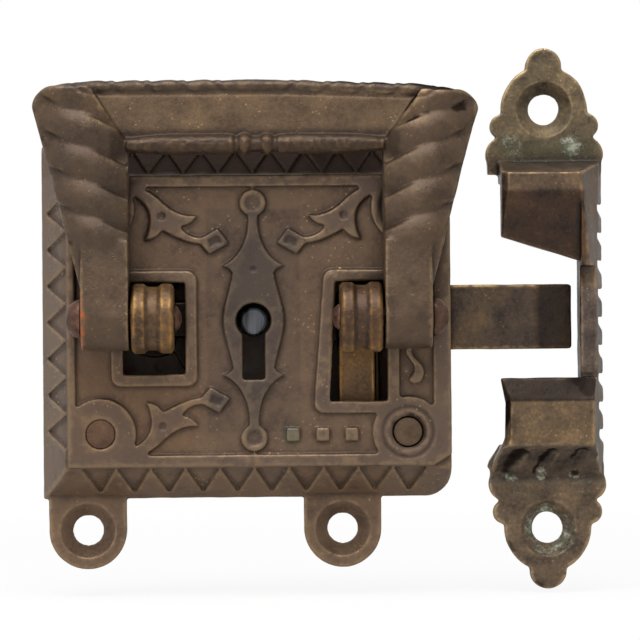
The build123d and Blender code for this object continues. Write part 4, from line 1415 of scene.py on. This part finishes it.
def handle_finish() -> BronzeFinish:
    """Give the handle its bronze, brighter on the panel, with painted shade on its top rim and rust on one
    arm.

    Returns:
        The finish.
    """
    zones = (
        Zone((-33.0, -30.0, 38.0), (34.0, -10.0, 44.9), (1.48, 1.48, 1.38), soft=1.0),
        Zone((-28.0, -30.0, 32.4), (29.0, -10.0, 37.4), (0.55, 0.51, 0.48), soft=0.6, ragged=0.8),
        # Painted shade: the top rim is darkened where it lies shadowed.
        Zone((-37.0, -30.0, 45.2), (38.0, -10.0, 50.0), (0.6, 0.62, 0.66), soft=0.5, ragged=0.8),
        Zone((-46.0, -30.0, 12.0), (-24.0, -10.0, 40.0), (0.8, 0.8, 0.82), soft=2.0),
        Zone((-36.6, -34.0, -8.2), (-32.9, -6.0, 6.4), soft=0.7, ragged=2.6, stain=Tone(168, 84, 42),
             spread=Spread.ROUND),
    )
    return BronzeFinish("handle_bronze", dark=Tone(66, 51, 40), middle=Tone(78, 62, 48),
                        light=Tone(89, 71, 54), cover=0.08, grime_and_shade_share=0.28, rough_low=0.34, rough_high=0.52,
                        zones=zones)


def lever_finish() -> BronzeFinish:
    """Give the lever its brassier bronze, with a dark end on the bolt and painted shade where it lies inside
    the case.

    Returns:
        The finish.
    """
    zones = (
        # Painted shade: the lever's body inside the case, seen through the windows, is darkened and shaded.
        Zone((-40.0, -12.4, -20.0), (14.6, 1.0, 20.0), (0.5, 0.5, 0.5), soft=0.3, ragged=0.2, shade=0.96),
        Zone((24.8, -12.4, -20.0), (36.0, 1.0, 20.0), (0.5, 0.5, 0.5), soft=0.3, ragged=0.2, shade=0.96),
        Zone((38.0, -30.0, -12.0), (56.6, 0.0, 12.0), (0.9, 0.96, 1.06), soft=1.2),
        Zone((48.0, -30.0, -12.0), (57.0, 0.0, 12.0), (0.74, 0.74, 0.82), soft=2.5, ragged=2.0),
        Zone((56.8, -30.0, -12.0), (70.0, 0.0, 12.0), (0.29, 0.28, 0.32), soft=1.2, ragged=1.4),
        Zone((15.0, -30.0, -18.0), (27.0, 0.0, -5.2), (1.6, 1.45, 1.15), soft=1.2),
        Zone((-30.0, -30.0, -8.0), (-10.0, -12.0, 9.0), (1.02, 0.92, 0.76)),
        Zone((14.0, -30.0, -5.2), (30.0, -12.0, 9.0), (0.66, 0.58, 0.56)),
    )
    return BronzeFinish("lever_bronze", dark=Tone(60, 46, 37), middle=Tone(83, 66, 50),
                        light=Tone(107, 83, 56), bare=Tone(164, 130, 80), cover=0.08, rub=0.6, glint=0.5,
                        metallic=0.5, rough_low=0.34, rough_high=0.52, zones=zones)


def spot(x: float, z: float, width: float, height: float, cover: float, soft: float = 0.8,
         ragged: float = 2.6) -> Zone:
    """Give a round spot of verdigris that goes through a piece from front to back.

    Args:
        x: The middle, in mm to the right.
        z: The middle, in mm upward.
        width: The width in mm.
        height: The height in mm.
        cover: How much of the spot the deposit covers.
        soft: The width of the border in mm.
        ragged: How far the border strays in mm.

    Returns:
        The spot as a zone.
    """
    low = (x - width / 2, -30.0, z - height / 2)
    high = (x + width / 2, 26.0, z + height / 2)
    return Zone(low, high, soft=soft, ragged=ragged, cover=cover, spread=Spread.ROUND)


def keeper_finish() -> BronzeFinish:
    """Give the keeper its bronze, with verdigris round the screw holes and in the flutes.

    Returns:
        The finish.
    """
    zones = (
        Zone((48.0, -13.0, 7.0), (66.6, -5.0, 25.6), (0.50, 0.40, 0.36), soft=0.6, ragged=0.6),
        Zone((66.6, -13.0, 4.0), (73.0, 1.0, 29.0), (1.35, 1.35, 1.38), soft=0.6, ragged=0.6),
        Zone((64.0, -13.0, -11.0), (73.0, 1.0, 6.0), (0.9, 0.98, 1.2), soft=0.6, ragged=0.6),
        Zone((48.0, -13.0, 25.6), (68.2, -5.0, 29.6), (1.2, 1.16, 1.1), soft=0.4, ragged=0.6),
        Zone((50.6, -13.0, -25.2), (68.2, -5.0, -16.6), (1.5, 1.45, 1.26), soft=0.3, ragged=0.4),
        Zone((48.0, -13.0, -16.6), (68.2, -3.0, -11.0), (0.36, 0.34, 0.33), soft=0.3, ragged=0.4, cover=0.08,
             shade=0.35),
        Zone((46.0, -13.0, -33.6), (72.0, 1.0, -25.2), (1.15, 1.24, 1.34), soft=0.4, ragged=0.6, cover=0.12),
        Zone((46.0, -13.0, 33.0), (72.0, 1.0, 56.0), (1.44, 1.56, 1.42), cover=0.1),
        Zone((50.0, -13.0, 31.0), (70.0, 1.0, 36.5), (0.62, 0.7, 0.68), soft=1.5, cover=0.12),
        Zone((46.0, -13.0, -56.0), (72.0, 1.0, -33.0), (1.5, 1.54, 1.5), cover=0.1),
        spot(59.7, -42.8, 11.4, 11.2, 0.24, 1.2, 3.0),
        spot(51.5, -31.7, 2.6, 2.4, 0.2),
        spot(57.8, -31.5, 2.8, 2.8, 0.22),
        spot(64.1, -31.3, 3.0, 2.6, 0.18),
        spot(53.1, -35.1, 3.0, 3.0, 0.18),
        spot(66.2, -34.0, 4.0, 3.2, 0.16),
        spot(58.0, 51.2, 3.2, 4.8, 0.14, 1.5, 3.0),
        spot(53.0, 35.5, 4.8, 5.0, 0.14, 1.5, 3.0),
        spot(65.2, 35.3, 4.4, 4.6, 0.16, 1.5, 3.0),
        Zone((53.0, -30.0, -15.2), (58.0, -6.0, -12.8), cover=0.1, ragged=2.0, spread=Spread.ROUND),
    )
    return BronzeFinish("keeper_bronze", dark=Tone(54, 44, 36), middle=Tone(77, 63, 50),
                        light=Tone(102, 83, 64), cover=0.18, cling=0.14, rub=0.7, grime_and_shade_share=0.7, zones=zones)


def rivet_finish() -> BronzeFinish:
    """Give the rivets their copper, paler at the right.

    Returns:
        The finish.
    """
    zones = (Zone((26.0, -16.0, -27.0), (36.0, 1.0, 27.0), (0.92, 1.06, 1.08)),)
    return BronzeFinish("rivet_copper", dark=Tone(74, 54, 41), middle=Tone(92, 68, 51),
                        light=Tone(108, 82, 62), cover=0.14, patina_scale=420.0, zones=zones)


def castings() -> list[Casting]:
    """List the castings and forgings with their finishes.

    Returns:
        The pieces in the order that they are built.
    """
    pin = BronzeFinish("pin_steel", dark=Tone(56, 36, 28), middle=Tone(80, 54, 42), light=Tone(106, 78, 63),
                       bare=Tone(144, 114, 98), deposit=Deposit.RUST, cover=0.42, patina_scale=600.0,
                       bump=0.9)
    steel = SteelFinish("key_stop_steel", dark=Tone(57, 57, 60), light=Tone(124, 126, 131), cover=0.06,
                        streak=(520.0, 60.0, 60.0), rough_low=0.3, rough_high=0.5)
    pins = [Casting(f"{side}_hinge_pin", f"{side}_pin_forging", Body.LEVER, "pin_steel", pin, voxel=0.16,
                    rounds=3, triangles=30000, lump=0.1, grit=0.06, seed=seed)
            for side, seed in (("left", 5), ("right", 6))]
    return [
        CaseCasting("case", "case_casting", Body.LOCK, "case_bronze", case_finish(), voxel=0.26, rounds=2,
                    triangles=190000),
        HandleCasting("handle", "handle_casting", Body.HANDLE, "handle_bronze", handle_finish(), voxel=0.25,
                      triangles=180000, sharp=0.12, seed=2),
        Casting("latch_lever", "latch_lever_casting", Body.LEVER, "lever_bronze", lever_finish(), voxel=0.23,
                rounds=2, triangles=120000, seed=3),
        KeeperCasting("keeper", "keeper_casting", Body.LOCK, "keeper_bronze", keeper_finish(), voxel=0.23,
                      rounds=7, triangles=160000, lump=0.08, seed=4),
        *pins,
        TurnedSteel("key_stop", "key_stop_turning", Body.LOCK, "works_steel", steel, voxel=0.14, rounds=2,
                    triangles=30000, lump=0.0, grit=0.0),
    ]


def main() -> None:
    """Build every piece of the lock, then the studio."""
    logging.basicConfig(level=logging.INFO, format="%(name)s %(message)s")
    SharedEffects().build()
    built = {}
    for casting in castings():
        built[casting.node] = casting.build()
    RivetSet(rivet_finish()).build()
    KeeperBloom().build(built["keeper"])
    Works().build()
    Studio().build()
    LOG.info("lock finished")


if __name__ == "__main__":
    main()
